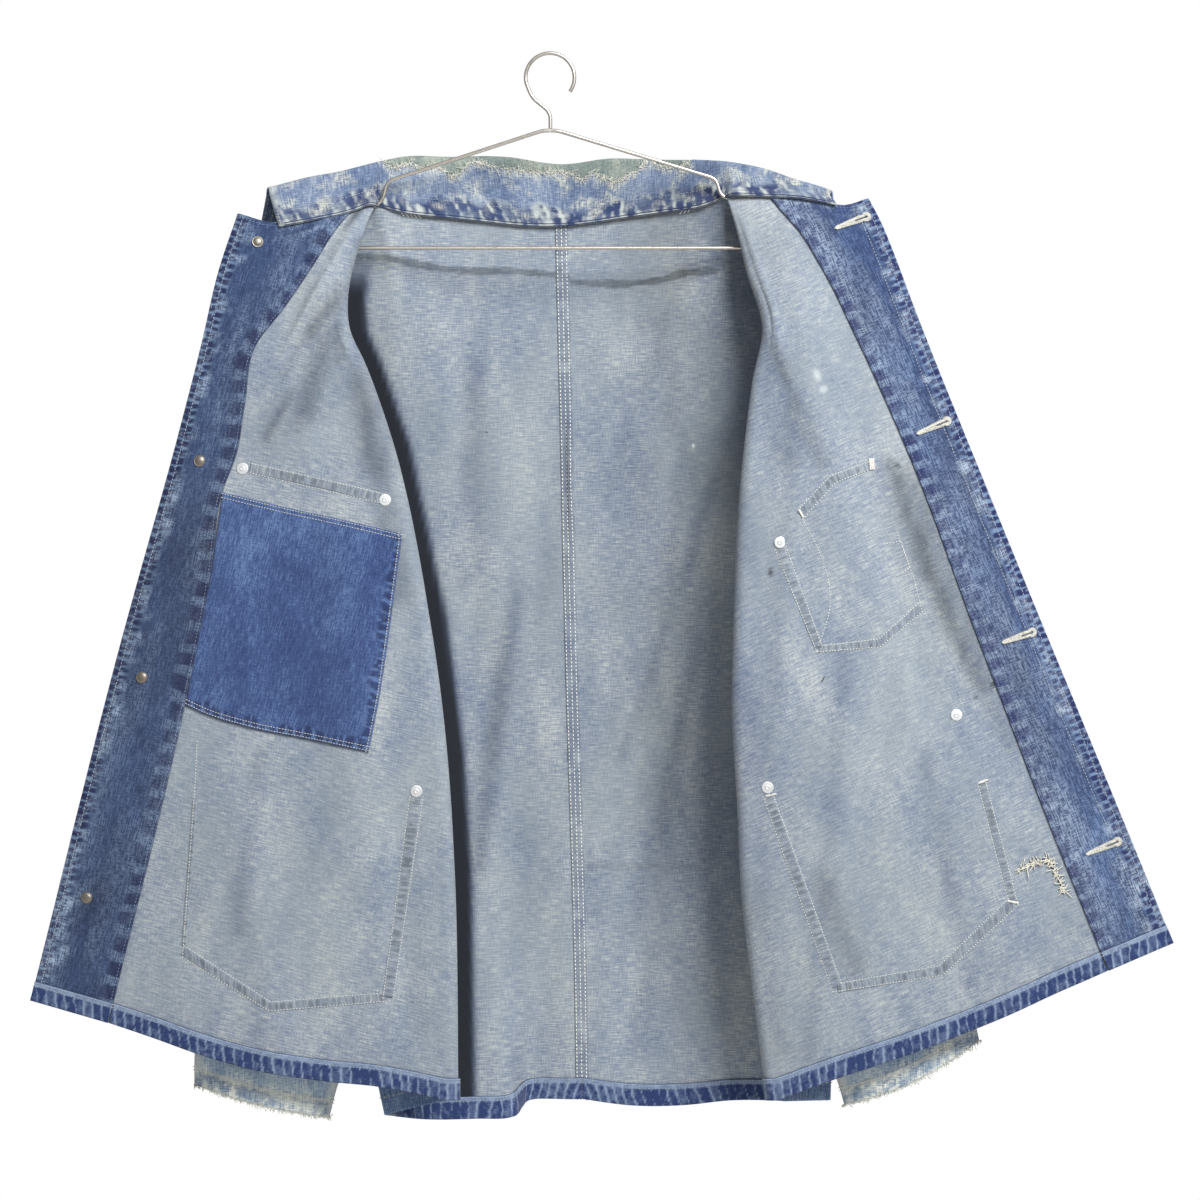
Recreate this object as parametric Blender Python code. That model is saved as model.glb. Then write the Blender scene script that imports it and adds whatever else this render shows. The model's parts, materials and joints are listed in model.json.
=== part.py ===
"""A denim work jacket hung open on a wire hanger, with its fronts turned outwards so that the inside shows.

The frame is metres with +Z up. The origin is the inside of the top of the hanger's hook, where a rail
carries it. +X is to the right of somebody who looks at the open jacket, and they look along +Y.
The wearer's right front hangs on the -X side and carries the buttons.
"""

import math

import bmesh
import bpy
import numpy as np
from mathutils import Vector
from mathutils.bvhtree import BVHTree

MM = 0.001

# Cloth and small hardware, in millimetres.
CLOTH = 1.5
FACING_CLOTH = 1.2
POCKET_CLOTH = 1.2
HEM_TURN_UP = 1.2
GAP = 0.4
COLLAR_GAP = 0.8
SLEEVE_GAP = 0.9
SIDE_SEAM_HALF = 0.95
CENTRE_SEAM_HALF = 0.2
THIN_COLUMN_WIDTH = 0.5
SEAM_COLUMN_WIDTH = 8.0
SHOULDER_SPREAD = 3.7
ARMHOLE_HALF_WIDTH = 15.0
BUTTON_RADIUS = 8.5
BUTTON_HEIGHT = 5.5
NAIL_RADIUS = 4.6
NAIL_HEIGHT = 1.6
RIVET_RADIUS = 4.8
RIVET_HEIGHT = 1.1
WIRE_RADIUS = 1.5
WIRE_BEND = 6.0

# Every outline below is written as it looks from this point, 3 m in front of the hanger,
# so x and z are where its line of sight crosses the hanger's plane and y is its true depth.
EYE = np.array((40.0, -3000.0, -436.0))

# Heights down each panel, as shares of its length. The ninth row is the foot of the armhole,
# and the last two rows are the turned-up hem.
ARMHOLE_ROWS = (0.0, 0.01, 0.045, 0.09, 0.14, 0.19, 0.24, 0.30, 0.354)
SKIRT_ROWS = (0.42, 0.49, 0.56, 0.63, 0.70, 0.77, 0.84, 0.91)
HEM_START = 0.976
HEM_STEP = 0.0015
PANEL_ROWS = ARMHOLE_ROWS + SKIRT_ROWS + (HEM_START - HEM_STEP, HEM_START, 1.0)
ARMHOLE_FOOT = ARMHOLE_ROWS[-1]

FACING_CELLS, DOOR_CELLS, RETURN_CELLS = 3, 8, 4
THIN_COLUMN = FACING_CELLS + 1
FOLD_COLUMN = FACING_CELLS + 1 + DOOR_CELLS
FACING_NECK_SHARE = 0.84
FOLD_ANGLES = (0.0, 45.0, 90.0, 135.0)
FOLD_RADIUS = 8.0
NECK_CELLS, SHOULDER_CELLS = 5, 4
NECK_SHARE = 0.62
BACK_CURVE = 2.2

# The wearer's right front, on the viewer's left. Each line runs from the neck to the hem.
RIGHT_FRONT = {
    "inward": 1,
    "edge": [(-250, -30, -127), (-265, -36, -172), (-278, -38, -228), (-355, -42, -516), (-415, -36, -756)],
    "facing": [(-156, -9, -122), (-170, -18, -138), (-191, -27, -171), (-214, -34, -204), (-234, -38, -230),
               (-244, -42, -279), (-251, -43, -320), (-262, -45, -350), (-271, -46, -414), (-292, -48, -521),
               (-353, -42, -774)],
    "fold": [(-139, -3.5, -117), (-146, -12, -132), (-154, -22, -156), (-162, -34, -196), (-160, -39, -221),
             (-149, -43, -246), (-126, -50, -312), (-97, -56, -450), (-83, -58, -557), (-77, -56, -649),
             (-74, -50, -836)],
    "behind": [(-142, -1.3, -117.2), (-150, -5, -134), (-162, -8.5, -158), (-176, -9, -198), (-170, -6, -250),
               (-150, 0, -320), (-118, 6, -455), (-104, 6, -560), (-96, 0, -660), (-92, -14, -838)],
    "side": [(-232, 0, -164), (-213, 0, -200), (-205, 2, -285), (-213, 4, -360), (-226, 5, -406),
             (-208, 7, -520), (-165, 9, -700), (-132, 9, -848)],
    "neck": [(-250, -30, -127), (-219, -25, -134), (-190, -18, -128), (-156, -9, -119), (-139, -3.5, -117)],
    "shoulder": [(-142, 0, -117.2), (-200, 0, -136), (-220, 0, -146), (-232, 0, -164)],
    "hem": [(-353, -42, -774), (-316, -44, -786), (-282, -47, -798), (-236, -50, -811), (-174, -52, -821),
            (-132, -52, -825), (-74, -50, -836)],
    "folds": [((-176, -140), (-196, -330), 16, 5), ((-162, -330), (-152, -640), 26, 4),
              ((-245, -560), (-300, -780), 34, 3)],
}

# The wearer's left front, on the viewer's right, is drawn out further to the side.
LEFT_FRONT = {
    "inward": -1,
    "edge": [(255, -30, -115), (264, -33, -132), (274, -35, -156), (289, -38, -196), (353, -42, -356),
             (458, -42, -612), (498, -34, -710)],
    "facing": [(174, -9, -112), (185, -17, -125), (199, -24, -141), (217, -30, -170), (244, -36, -224),
               (286, -42, -317), (342, -46, -466), (412, -46, -648), (446, -40, -732)],
    "fold": [(141, -3.5, -111), (148, -13, -133), (158, -26, -174), (170, -38, -214), (162, -44, -265),
             (152, -50, -354), (147, -56, -468), (146, -58, -516), (150, -58, -595), (154, -56, -674),
             (162, -52, -741), (174, -46, -836)],
    "behind": [(144, -1.3, -111), (152, -5, -135), (164, -9, -170), (186, -9, -215), (182, -4, -270),
               (172, 1, -354), (168, 6, -468), (168, 6, -600), (176, 0, -700), (190, -14, -837)],
    "side": [(237, 0, -160), (219, 0, -198), (212, 2, -285), (218, 4, -360), (230, 5, -406),
             (229, 7, -520), (228, 9, -690), (224, 9, -836)],
    "neck": [(255, -30, -115), (232, -26, -120), (205, -20, -115), (174, -9, -109), (141, -3.5, -111)],
    "shoulder": [(144, 0, -111), (200, 0, -129.5), (222, 0, -140), (237, 0, -160)],
    "hem": [(446, -40, -732), (404, -42, -750), (364, -44, -768), (286, -47, -798), (219, -48, -820),
            (174, -46, -836)],
    "folds": [((196, -150), (236, -420), 24, 5), ((232, -500), (206, -800), 26, 5),
              ((330, -560), (372, -760), 34, 3)],
}

# The back's own neckline from the centre to each shoulder seam, and its hem from the centre to each side.
CENTRE_BACK = [(9, 38, -134), (13, 44, -300), (18, 46, -516), (24, 44, -716), (26, 42, -835)]
RIGHT_BACK = {
    "neck": [(9, 38, -134), (-30, 36, -133), (-70, 30, -128), (-112, 16, -124), (-142, 0, -117.2)],
    "hem": [(26, 42, -835), (-20, 40, -837), (-24, 28, -842), (-29, 14, -849), (-60, 9, -851), (-105, 12, -851),
            (-132, 9, -848)],
    "folds": [((4, -330), (-88, -640), 22, -6), ((-150, -250), (-190, -560), 30, -6)],
}
LEFT_BACK = {
    "neck": [(9, 38, -134), (44, 36, -130), (82, 30, -124), (116, 16, -120), (144, 0, -111)],
    "hem": [(26, 42, -835), (64, 40, -840), (104, 37, -840), (144, 34, -836), (190, 24, -836), (224, 9, -836)],
    "folds": [((150, -230), (76, -520), 22, -7), ((196, -300), (160, -760), 26, -6), ((76, -520), (70, -800), 30, -4)],
}

# Each sleeve ring: outer edge, underarm edge, depth of its middle, half of its thickness and its sag between.
RIGHT_SLEEVE = [
    ((-247, -178), (-236, -411), 3, 16), ((-259, -212), (-236, -434), -1, 17), ((-267, -270), (-232, -462), -6, 17),
    ((-272, -340), (-222, -507), -12, 16), ((-275, -420), (-200, -555), -18, 15), ((-278, -505), (-176, -607), -19, 15),
    ((-280, -600), (-161, -667), -18, 15), ((-282, -690), (-157, -733), -17, 15), ((-283, -770), (-164, -800), -16, 14),
    ((-284, -806), (-172, -830), -16, 14, 2), ((-284, -824), (-177, -850), -16, 14, 4),
]
LEFT_SLEEVE = [
    ((252, -176), (240, -411), 3, 16), ((268, -212), (241, -438), -1, 17), ((280, -266), (242, -470), -6, 17),
    ((290, -334), (240, -516), -12, 16), ((299, -412), (230, -562), -18, 15), ((308, -497), (216, -612), -19, 15),
    ((317, -590), (207, -672), -18, 15), ((326, -680), (208, -735), -17, 15), ((336, -752), (222, -797), -16, 14),
    ((340, -774), (231, -823), -16, 14, 5), ((343, -789), (236, -840), -16, 14, 8),
]

# The collar: its seam on the neckline, the worn roll at its top and the edge of its leaf behind.
COLLAR_SEAM = [(-219, -25, -133), (-190, -18, -127), (-156, -9, -118), (-141, 0, -115.5), (-112, 16, -123),
               (-70, 30, -127), (-30, 36, -132), (9, 38, -133), (44, 36, -129), (82, 30, -123), (116, 16, -119),
               (143, 0, -109), (174, -9, -108), (205, -20, -114), (232, -26, -119)]
COLLAR_ROLL = [(-229, -20, -108), (-196, -13, -100), (-158, -2, -91), (-138, 7, -86), (-112, 18, -82),
               (-74, 32, -82), (-34, 40, -82), (9, 44, -88), (48, 41, -83), (84, 34, -84), (118, 20, -85),
               (142, 7, -86), (170, -2, -92), (204, -15, -102), (231, -22, -112)]
COLLAR_LEAF = [(-240, 26, -166), (-204, 28, -160), (-166, 32, -152), (-142, 38, -148), (-114, 45, -146),
               (-74, 54, -146), (-34, 58, -147), (9, 60, -150), (48, 58, -147), (84, 54, -147), (120, 46, -148),
               (146, 38, -149), (176, 32, -155), (212, 28, -164), (242, 26, -172)]
ROLL_RADIUS = 4.5

# Patches and pockets, as corner points seen from the front.
INNER_PATCH = [(-270, -348), (-118, -381), (-146, -557), (-300, -519)]
RIGHT_CHEST_POCKET = [(-251, -326), (-126, -354), (-147, -482), (-163, -494), (-258, -472), (-272, -456)]
RIGHT_LOWER_POCKET = [(-284, -550), (-106, -585), (-128, -756), (-227, -762), (-294, -712)]
LEFT_CHEST_POCKET = [(182, -389), (200, -370), (222, -344), (262, -325), (298, -436), (268, -472), (214, -480)]
LEFT_LOWER_POCKET = [(172, -585), (326, -526), (370, -680), (316, -736), (228, -748)]

BUTTON_PLACES = [(-234, -150), (-280, -325), (-326, -498), (-370, -674)]
RIGHT_RIVETS = [(-246, -331), (-132, -356), (-107, -589)]
LEFT_RIVETS = [(184, -390), (174, -586), (325, -528)]

# The hanger's wire, in its own plane: the hook, then half of the frame on each side.
HOOK_RADIUS = 18.0
HOOK_CENTRE = (0.0, -18.0)
HOOK_TIP_ANGLE = -35.0
HOOK_END_ANGLE = 195.0
HOOK_SHANK = [(-14.5, -34), (0.3, -46), (0.3, -58.7)]
FRAME_RIGHT = [(0.2, -60.5), (6, -60.5), (133, -99), (136.5, -112.8), (206, -135.8), (214, -154.4), (200, -154.4)]
FRAME_LEFT = [(-0.2, -60.5), (-6, -60.5), (-130, -101), (-134.5, -118.2), (-206, -141.6), (-214, -154.4), (-200, -154.4)]

DENIM_OUTSIDE = ("denim_outside", (0.16, 0.24, 0.40, 1), 0.9, 0.0)
DENIM_DARK = ("denim_dark", (0.10, 0.16, 0.33, 1), 0.9, 0.0)
DENIM_REVERSE = ("denim_reverse", (0.33, 0.42, 0.54, 1), 0.92, 0.0)
NICKEL = ("nickel", (0.55, 0.53, 0.50, 1), 0.3, 1.0)
ALUMINIUM = ("aluminium", (0.80, 0.80, 0.80, 1), 0.35, 1.0)
STEEL_WIRE = ("steel_wire", (0.60, 0.58, 0.56, 1), 0.28, 1.0)


def sight(x, y, z):
    """The point at depth y that covers (x, z) of the hanger's plane when seen from EYE."""
    share = (y - EYE[1]) / -EYE[1]
    return np.array((EYE[0] + (x - EYE[0]) * share, y, EYE[2] + (z - EYE[2]) * share))


def smooth(knots, values):
    """A curve through the values at the knots, with the slopes of a cardinal spline."""
    knots = np.asarray(knots, float)
    values = np.asarray(values, float)
    slopes = np.gradient(values, knots, axis=0)

    def at(t):
        i = int(np.clip(np.searchsorted(knots, t) - 1, 0, len(knots) - 2))
        span = knots[i + 1] - knots[i]
        u = (t - knots[i]) / span
        a, b = values[i], values[i + 1]
        return (a * (1 + 2 * u) * (1 - u) ** 2 + b * u * u * (3 - 2 * u)
                + slopes[i] * span * u * (1 - u) ** 2 - slopes[i + 1] * span * u * u * (1 - u))

    return at


def by_height(points):
    """A line down a panel, with its parameter from 0 at its top to 1 at its foot."""
    heights = [p[2] for p in points]
    share = [(heights[0] - h) / (heights[0] - heights[-1]) for h in heights]
    return smooth(share, points)


def by_length(points):
    """A curve whose parameter runs from 0 to 1 with the distance between its points."""
    steps = np.linalg.norm(np.diff(np.asarray(points, float), axis=0), axis=1)
    return smooth(np.concatenate([[0], np.cumsum(steps)]) / steps.sum(), points)


def soft_step(value):
    value = min(1.0, max(0.0, value))
    return value * value * (3 - 2 * value)


def crease(x, z, folds):
    """How far forward the soft folds push the cloth at (x, z). Each has a head, a foot, a width and a height."""
    forward = 0.0
    for (head_x, head_z), (foot_x, foot_z), width, height in folds:
        along = (head_z - z) / (head_z - foot_z)
        fade = soft_step((along + 0.25) / 0.5) * soft_step((1.25 - along) / 0.5)
        across = (x - head_x - (foot_x - head_x) * along) / width
        forward += height * fade * math.exp(-across * across)
    return forward


def coons(left, right, top, bottom, s, t, top_power=2.0, bottom_power=2.0):
    """A patch between four edges. The edges at the top and the bottom fade with the given powers."""
    rows = (1 - s) * left(t) + s * right(t)
    top_bend = top(s) - (1 - s) * top(0) - s * top(1)
    bottom_bend = bottom(s) - (1 - s) * bottom(0) - s * bottom(1)
    return rows + top_bend * (1 - t) ** top_power + bottom_bend * t ** bottom_power


def straight(a, b):
    return lambda s: (1 - s) * np.asarray(a, float) + s * np.asarray(b, float)


def armhole_half_width(t):
    """Half of the armhole's width in depth, which closes to the side seam below its foot."""
    if t >= ARMHOLE_FOOT:
        return SIDE_SEAM_HALF
    return SIDE_SEAM_HALF + ARMHOLE_HALF_WIDTH * math.sin(math.pi * t / ARMHOLE_FOOT) ** 0.6


def front_grid(front):
    """The middle of one front's cloth: rows down it, and columns from its edge, round the fold, to the side."""
    inward = front["inward"]
    edge, facing, fold, behind, side = (by_height(front[k]) for k in ("edge", "facing", "fold", "behind", "side"))
    neck, hem, shoulder = (by_length(front[k]) for k in ("neck", "hem", "shoulder"))
    top_of_door = by_length([neck(FACING_NECK_SHARE + (1 - FACING_NECK_SHARE) * i / 4) for i in range(5)])
    rows = []
    for t in PANEL_ROWS:
        radius = 1.3 + (FOLD_RADIUS - 1.3) * soft_step(t / 0.12)
        start = np.array((inward * radius, 0, 0))
        fold_x, fold_y, fold_z = fold(t)
        row = [coons(edge, facing, lambda s: neck(s * FACING_NECK_SHARE), straight(edge(1), facing(1)),
                     i / FACING_CELLS, t, top_power=8) for i in range(FACING_CELLS)]
        width = abs(fold_x - facing(t)[0])
        shares = [0, THIN_COLUMN_WIDTH / width] + [i / DOOR_CELLS for i in range(1, DOOR_CELLS)]
        row += [coons(facing, lambda u: fold(u) - start, top_of_door, hem, s, t, top_power=8) for s in shares]
        row = [sight(x, y - crease(x, z, front["folds"]), z) for x, y, z in row]
        for angle in FOLD_ANGLES:
            a = math.radians(angle)
            row.append(sight(fold_x + inward * radius * (math.sin(a) - 1), fold_y + radius * (1 - math.cos(a)), fold_z))
        start, end = behind(t), side(t) - np.array((0, armhole_half_width(t), 0))
        spread = SHOULDER_SPREAD * soft_step(t / 0.01) * (1 - soft_step((t - 0.01) / 0.1))
        beside_seam = 1 - SEAM_COLUMN_WIDTH / abs(end[0] - start[0])
        for s in [i / RETURN_CELLS for i in range(RETURN_CELLS)] + [beside_seam, 1]:
            x, y, z = coons(lambda _: start, lambda _: end, shoulder, straight(start, end), s, t, top_power=8)
            row.append(sight(x, y - spread * math.sin(math.pi * (0.25 + s * 0.5)), z))
        rows.append(row)
    return np.array(rows)


def back_grid(front, back):
    """The middle of one half of the back: rows down it, and columns from the centre seam to the side."""
    centre, side = by_height(CENTRE_BACK), by_height(front["side"])
    neck, hem, shoulder = by_length(back["neck"]), by_length(back["hem"]), by_length(front["shoulder"])
    shift = np.array((math.copysign(CENTRE_SEAM_HALF, front["side"][0][0]), 0, 0))

    def top(s):
        if s <= NECK_SHARE:
            return neck(s / NECK_SHARE)
        return shoulder((s - NECK_SHARE) / (1 - NECK_SHARE))

    def plain(s, t):
        start, end = centre(t) + shift * (1 - s), side(t) + np.array((0, armhole_half_width(t), 0))
        point = (1 - s) * start + s * end
        point[1] = start[1] + (end[1] - start[1]) * s ** BACK_CURVE
        return point

    shares = [NECK_SHARE * i / NECK_CELLS for i in range(NECK_CELLS)]
    shares += [NECK_SHARE + (1 - NECK_SHARE) * i / SHOULDER_CELLS for i in range(SHOULDER_CELLS + 1)]
    rows = []
    for t in PANEL_ROWS:
        spread = SHOULDER_SPREAD * soft_step(t / 0.01) * (1 - soft_step((t - 0.01) / 0.1))
        row = []
        beside_seam = 1 - SEAM_COLUMN_WIDTH / abs(side(t)[0] - centre(t)[0])
        for s in shares[:-1] + [beside_seam, 1]:
            seam = top(s) + shift * max(0, 1 - s / NECK_SHARE) + np.array((0, SIDE_SEAM_HALF * min(1, s / NECK_SHARE), 0))
            foot = hem(s) + shift * (1 - s) + np.array((0, SIDE_SEAM_HALF * s, 0))
            point = plain(s, t) + (seam - plain(s, 0)) * (1 - t) ** 8 + (foot - plain(s, 1)) * t ** 5
            over_wire = spread * math.sin(math.pi * (0.25 + 0.5 * (s - NECK_SHARE) / (1 - NECK_SHARE))) if s >= NECK_SHARE else 0
            x, y, z = point
            row.append(sight(x, y + over_wire - crease(x, z, back["folds"]) * soft_step((1 - s) / 0.15), z))
        rows.append(row)
    return np.array(rows)


def sleeve_half(rings, panel, way):
    """The middle of one half of a sleeve: a row from its outer edge to its underarm, for each ring to the cuff."""
    foot = len(ARMHOLE_ROWS)
    along = panel[:foot, -1] - panel[:foot, -2]
    rows = [panel[:foot, -1] + SLEEVE_GAP * along / np.linalg.norm(along, axis=1, keepdims=True)]
    for outer, under, depth, half, *sag in rings:
        row = []
        for share in np.array(ARMHOLE_ROWS) / ARMHOLE_FOOT:
            swell = max(0.0, math.sin(math.pi * share))
            x, z = (1 - share) * np.array(outer) + share * np.array(under)
            row.append(sight(x, depth + way * (SIDE_SEAM_HALF + half * swell ** 0.6), z - sum(sag) * swell))
        rows.append(np.array(row))
    return np.array(rows)


def collar_grid(seam):
    """The middle of the collar's cloth: a row for each point of its seam, from the seam over the roll to the leaf."""
    knots = [p[0] for p in COLLAR_SEAM]
    roll, leaf = smooth(knots, COLLAR_ROLL), smooth(knots, COLLAR_LEAF)
    rows = []
    for start in seam:
        x = np.clip(start[0], knots[0], knots[-1])
        top, foot = roll(x), leaf(x)
        crest = sight(top[0], top[1] + ROLL_RADIUS, top[2] - ROLL_RADIUS)
        end = sight(*foot)
        back = end - crest
        back[2] = 0
        back /= max(1e-6, np.linalg.norm(back))
        row = [start + (crest - ROLL_RADIUS * back - start) * s for s in (0, 0.5, 1)]
        for angle in (45, 90, 135, 180):
            a = math.radians(angle)
            row.append(crest - ROLL_RADIUS * math.cos(a) * back + np.array((0, 0, ROLL_RADIUS * math.sin(a))))
        row += [row[-1] + (end - row[-1]) * s for s in (0.33, 0.67, 1)]
        rows.append(row)
    return np.array(rows)


class Sheet:
    """A faceted sheet of cloth: its points, the direction out of its inner face at each, and its triangles."""

    def __init__(self, points, away, faces):
        self.points, self.away, self.faces = points, away, faces

    def skin(self, distance):
        return self.points + self.away * distance


def sheet_of(grid, toward):
    """A sheet on a grid of points, whose inner face looks toward the given direction near its middle."""
    rows, columns = grid.shape[:2]
    away = np.cross(np.gradient(grid, axis=1), np.gradient(grid, axis=0))
    away /= np.linalg.norm(away, axis=2, keepdims=True)
    if away[rows // 2, columns // 3].dot(toward) < 0:
        away = -away
    index = np.arange(rows * columns).reshape(rows, columns)
    faces = []
    for upper, lower in zip(index, index[1:]):
        for a, b, c, d in zip(upper, upper[1:], lower[1:], lower):
            faces += [(a, b, c), (a, c, d)]
    return Sheet(grid.reshape(-1, 3), away.reshape(-1, 3), faces)


def part_of(grid, toward, rows=slice(None), columns=slice(None)):
    """The sheet on some rows and columns of a grid, with the directions of the whole grid."""
    whole = sheet_of(grid, toward)
    index = np.arange(grid.shape[0] * grid.shape[1]).reshape(grid.shape[:2])[rows, columns]
    sheet = sheet_of(grid[rows, columns], toward)
    sheet.points, sheet.away = whole.points[index.ravel()], whole.away[index.ravel()]
    return sheet


def cut_out(sheet, outline):
    """The piece of a sheet inside an outline that is seen from EYE. The outline bulges outwards all round."""
    work = bmesh.new()
    way = work.verts.layers.float_vector.new("away")
    verts = []
    for point, away in zip(sheet.points, sheet.away):
        vert = work.verts.new(point)
        vert[way] = Vector(away)
        verts.append(vert)
    for face in sheet.faces:
        work.faces.new([verts[i] for i in face])
    corners = [np.array((x, 0.0, z)) for x, z in outline]
    middle = sum(corners) / len(corners)
    for a, b in zip(corners, corners[1:] + corners[:1]):
        across = np.cross(a - EYE, b - EYE)
        across *= -math.copysign(1, across.dot(middle - EYE)) / np.linalg.norm(across)
        geometry = work.verts[:] + work.edges[:] + work.faces[:]
        bmesh.ops.bisect_plane(work, geom=geometry, dist=0.002, plane_co=EYE, plane_no=across, clear_outer=True)
    work.verts.index_update()
    points = np.array([v.co[:] for v in work.verts])
    away = np.array([v[way][:] for v in work.verts])
    faces = [tuple(v.index for v in f.verts) for f in work.faces]
    work.free()
    return Sheet(points, away, faces)


def material(slot):
    name, colour, roughness, metallic = slot
    found = bpy.data.materials.get(name)
    if found is None:
        found = bpy.data.materials.new(name)
        found.diffuse_color = colour
        found.roughness = roughness
        found.metallic = metallic
    return found


def make_object(name, points, faces, slot):
    """A closed object from points in millimetres, with its faces turned outwards."""
    work = bmesh.new()
    verts = [work.verts.new([c * MM for c in p]) for p in points]
    for face in faces:
        work.faces.new([verts[i] for i in face])
    bmesh.ops.triangulate(work, faces=work.faces[:])
    bmesh.ops.recalc_face_normals(work, faces=work.faces[:])
    mesh = bpy.data.meshes.new(name)
    work.to_mesh(mesh)
    work.free()
    mesh.materials.append(material(slot))
    made = bpy.data.objects.new(name, mesh)
    bpy.context.scene.collection.objects.link(made)
    return made


def wall(name, sheet, near, far, slot):
    """A closed wall of cloth between two distances from the middle of a sheet, on its inner side if positive."""
    count = len(sheet.points)
    points = np.concatenate([sheet.skin(near), sheet.skin(far)])
    faces = [tuple(reversed(f)) for f in sheet.faces] + [tuple(i + count for i in f) for f in sheet.faces]
    sides = {(a, b) for f in sheet.faces for a, b in zip(f, f[1:] + f[:1])}
    for a, b in sorted(sides):
        if (b, a) not in sides:
            faces.append((a, b, b + count, a + count))
    return make_object(name, points, faces, slot)


def disc(name, sheet, place, near, radius, height, slot, sides=12):
    """A low round of metal over a place seen from EYE, clear of the face at a distance from the sheet's middle."""
    way = 1 if near > 0 else -1
    skin = [Vector(p) for p in sheet.skin(near)]
    tree = BVHTree.FromPolygons(skin, sheet.faces)
    target = Vector((place[0], 0, place[1])) - Vector(EYE)
    middle, normal = tree.ray_cast(Vector(EYE), target)[:2]
    if normal.dot(Vector(sheet.away.mean(axis=0)) * way) < 0:
        normal = -normal
    across = normal.cross(Vector((0, 0, 1))).normalized()
    up = across.cross(normal)
    rim = [across * math.cos(2 * math.pi * i / sides) + up * math.sin(2 * math.pi * i / sides) for i in range(sides)]
    lift = 0.0
    for share in (1.0, 0.6):
        for spoke in rim:
            hit = tree.ray_cast(middle + spoke * radius * share + normal * 20, -normal)[0]
            if hit is not None:
                lift = max(lift, (hit - middle).dot(normal))
    rings = [(radius, 0.0), (radius, height * 0.6), (radius * 0.8, height)]
    points = [middle + normal * (lift + 0.3 + up_by) + spoke * r for r, up_by in rings for spoke in rim]
    faces = [tuple(reversed(range(sides))), tuple(range(2 * sides, 3 * sides))]
    for level in range(2):
        for i in range(sides):
            a, b = level * sides + i, level * sides + (i + 1) % sides
            faces.append((a, b, b + sides, a + sides))
    return make_object(name, points, faces, slot)


def bent(corners):
    """Points along straight lines in the hanger's plane, with each corner between them rounded."""
    corners = [np.array((x, 0.0, z)) for x, z in corners]
    path = [corners[0]]
    for before, corner, after in zip(corners, corners[1:], corners[2:]):
        ends = []
        for other in (before, after):
            length = np.linalg.norm(other - corner)
            ends.append(corner + (other - corner) * min(WIRE_BEND, length * 0.45) / length)
        for i in range(4):
            u = i / 3
            path.append((1 - u) ** 2 * ends[0] + 2 * u * (1 - u) * corner + u * u * ends[1])
    return path + [corners[-1]]


def wire(name, path, sides=8):
    """Round wire along a path in the hanger's plane."""
    path = np.array(path)
    along = np.gradient(path, axis=0)
    along /= np.linalg.norm(along, axis=1, keepdims=True)
    points, faces = [], []
    for point, (dx, _, dz) in zip(path, along):
        for i in range(sides):
            a = 2 * math.pi * i / sides
            points.append(point + WIRE_RADIUS * np.array((-dz * math.cos(a), math.sin(a), dx * math.cos(a))))
    for r in range(len(path) - 1):
        for i in range(sides):
            a, b = r * sides + i, r * sides + (i + 1) % sides
            faces.append((a, b, b + sides, a + sides))
    faces += [tuple(range(sides)), tuple(range((len(path) - 1) * sides, len(path) * sides))]
    return make_object(name, points, faces, STEEL_WIRE)


def build_hanger():
    arc = []
    for i in range(24):
        a = math.radians(HOOK_TIP_ANGLE + (HOOK_END_ANGLE - HOOK_TIP_ANGLE) * i / 23)
        reach = HOOK_RADIUS + WIRE_RADIUS
        arc.append((HOOK_CENTRE[0] + reach * math.cos(a), 0, HOOK_CENTRE[1] + reach * math.sin(a)))
    wire("hanger_hook", arc + bent([(arc[-1][0], arc[-1][2])] + HOOK_SHANK)[1:])
    wire("hanger_arm_right", bent(FRAME_RIGHT))
    wire("hanger_arm_left", bent(FRAME_LEFT))
    wire("hanger_bar", bent([(-199.7, -154.4), (0, -154.4), (199.7, -154.4)]))


def build_front(side, front, grid, hem_first, rivets, chest, lower):
    """One front with its facing, hem, outside pockets and rivets."""
    toward = (0, -1, 0)
    half = CLOTH / 2
    whole = sheet_of(grid, toward)
    door = part_of(grid, toward, columns=slice(0, FOLD_COLUMN + 1))
    beside = part_of(grid, toward, columns=slice(THIN_COLUMN, FOLD_COLUMN + 1))
    wall(f"front_{side}", whole, -half, half, DENIM_REVERSE)
    facing = part_of(grid, toward, columns=slice(0, FACING_CELLS + 1))
    wall(f"facing_{side}", facing, half + GAP, half + GAP + FACING_CLOTH, DENIM_DARK)
    hem = part_of(grid, toward, rows=slice(-2, None), columns=slice(hem_first, -1))
    wall(f"hem_front_{side}", hem, half + GAP, half + GAP + HEM_TURN_UP, DENIM_OUTSIDE)
    pocket_far = -half - GAP - POCKET_CLOTH
    wall(f"chest_pocket_{side}", cut_out(door, chest), pocket_far, -half - GAP, DENIM_OUTSIDE)
    wall(f"lower_pocket_{side}", cut_out(door, lower), pocket_far, -half - GAP, DENIM_OUTSIDE)
    for number, place in enumerate(rivets, 1):
        disc(f"rivet_washer_{side}_{number}", beside, place, half, RIVET_RADIUS, RIVET_HEIGHT, ALUMINIUM)
        disc(f"rivet_cap_{side}_{number}", door, place, pocket_far, RIVET_RADIUS, RIVET_HEIGHT, NICKEL)
    return door, beside


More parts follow.
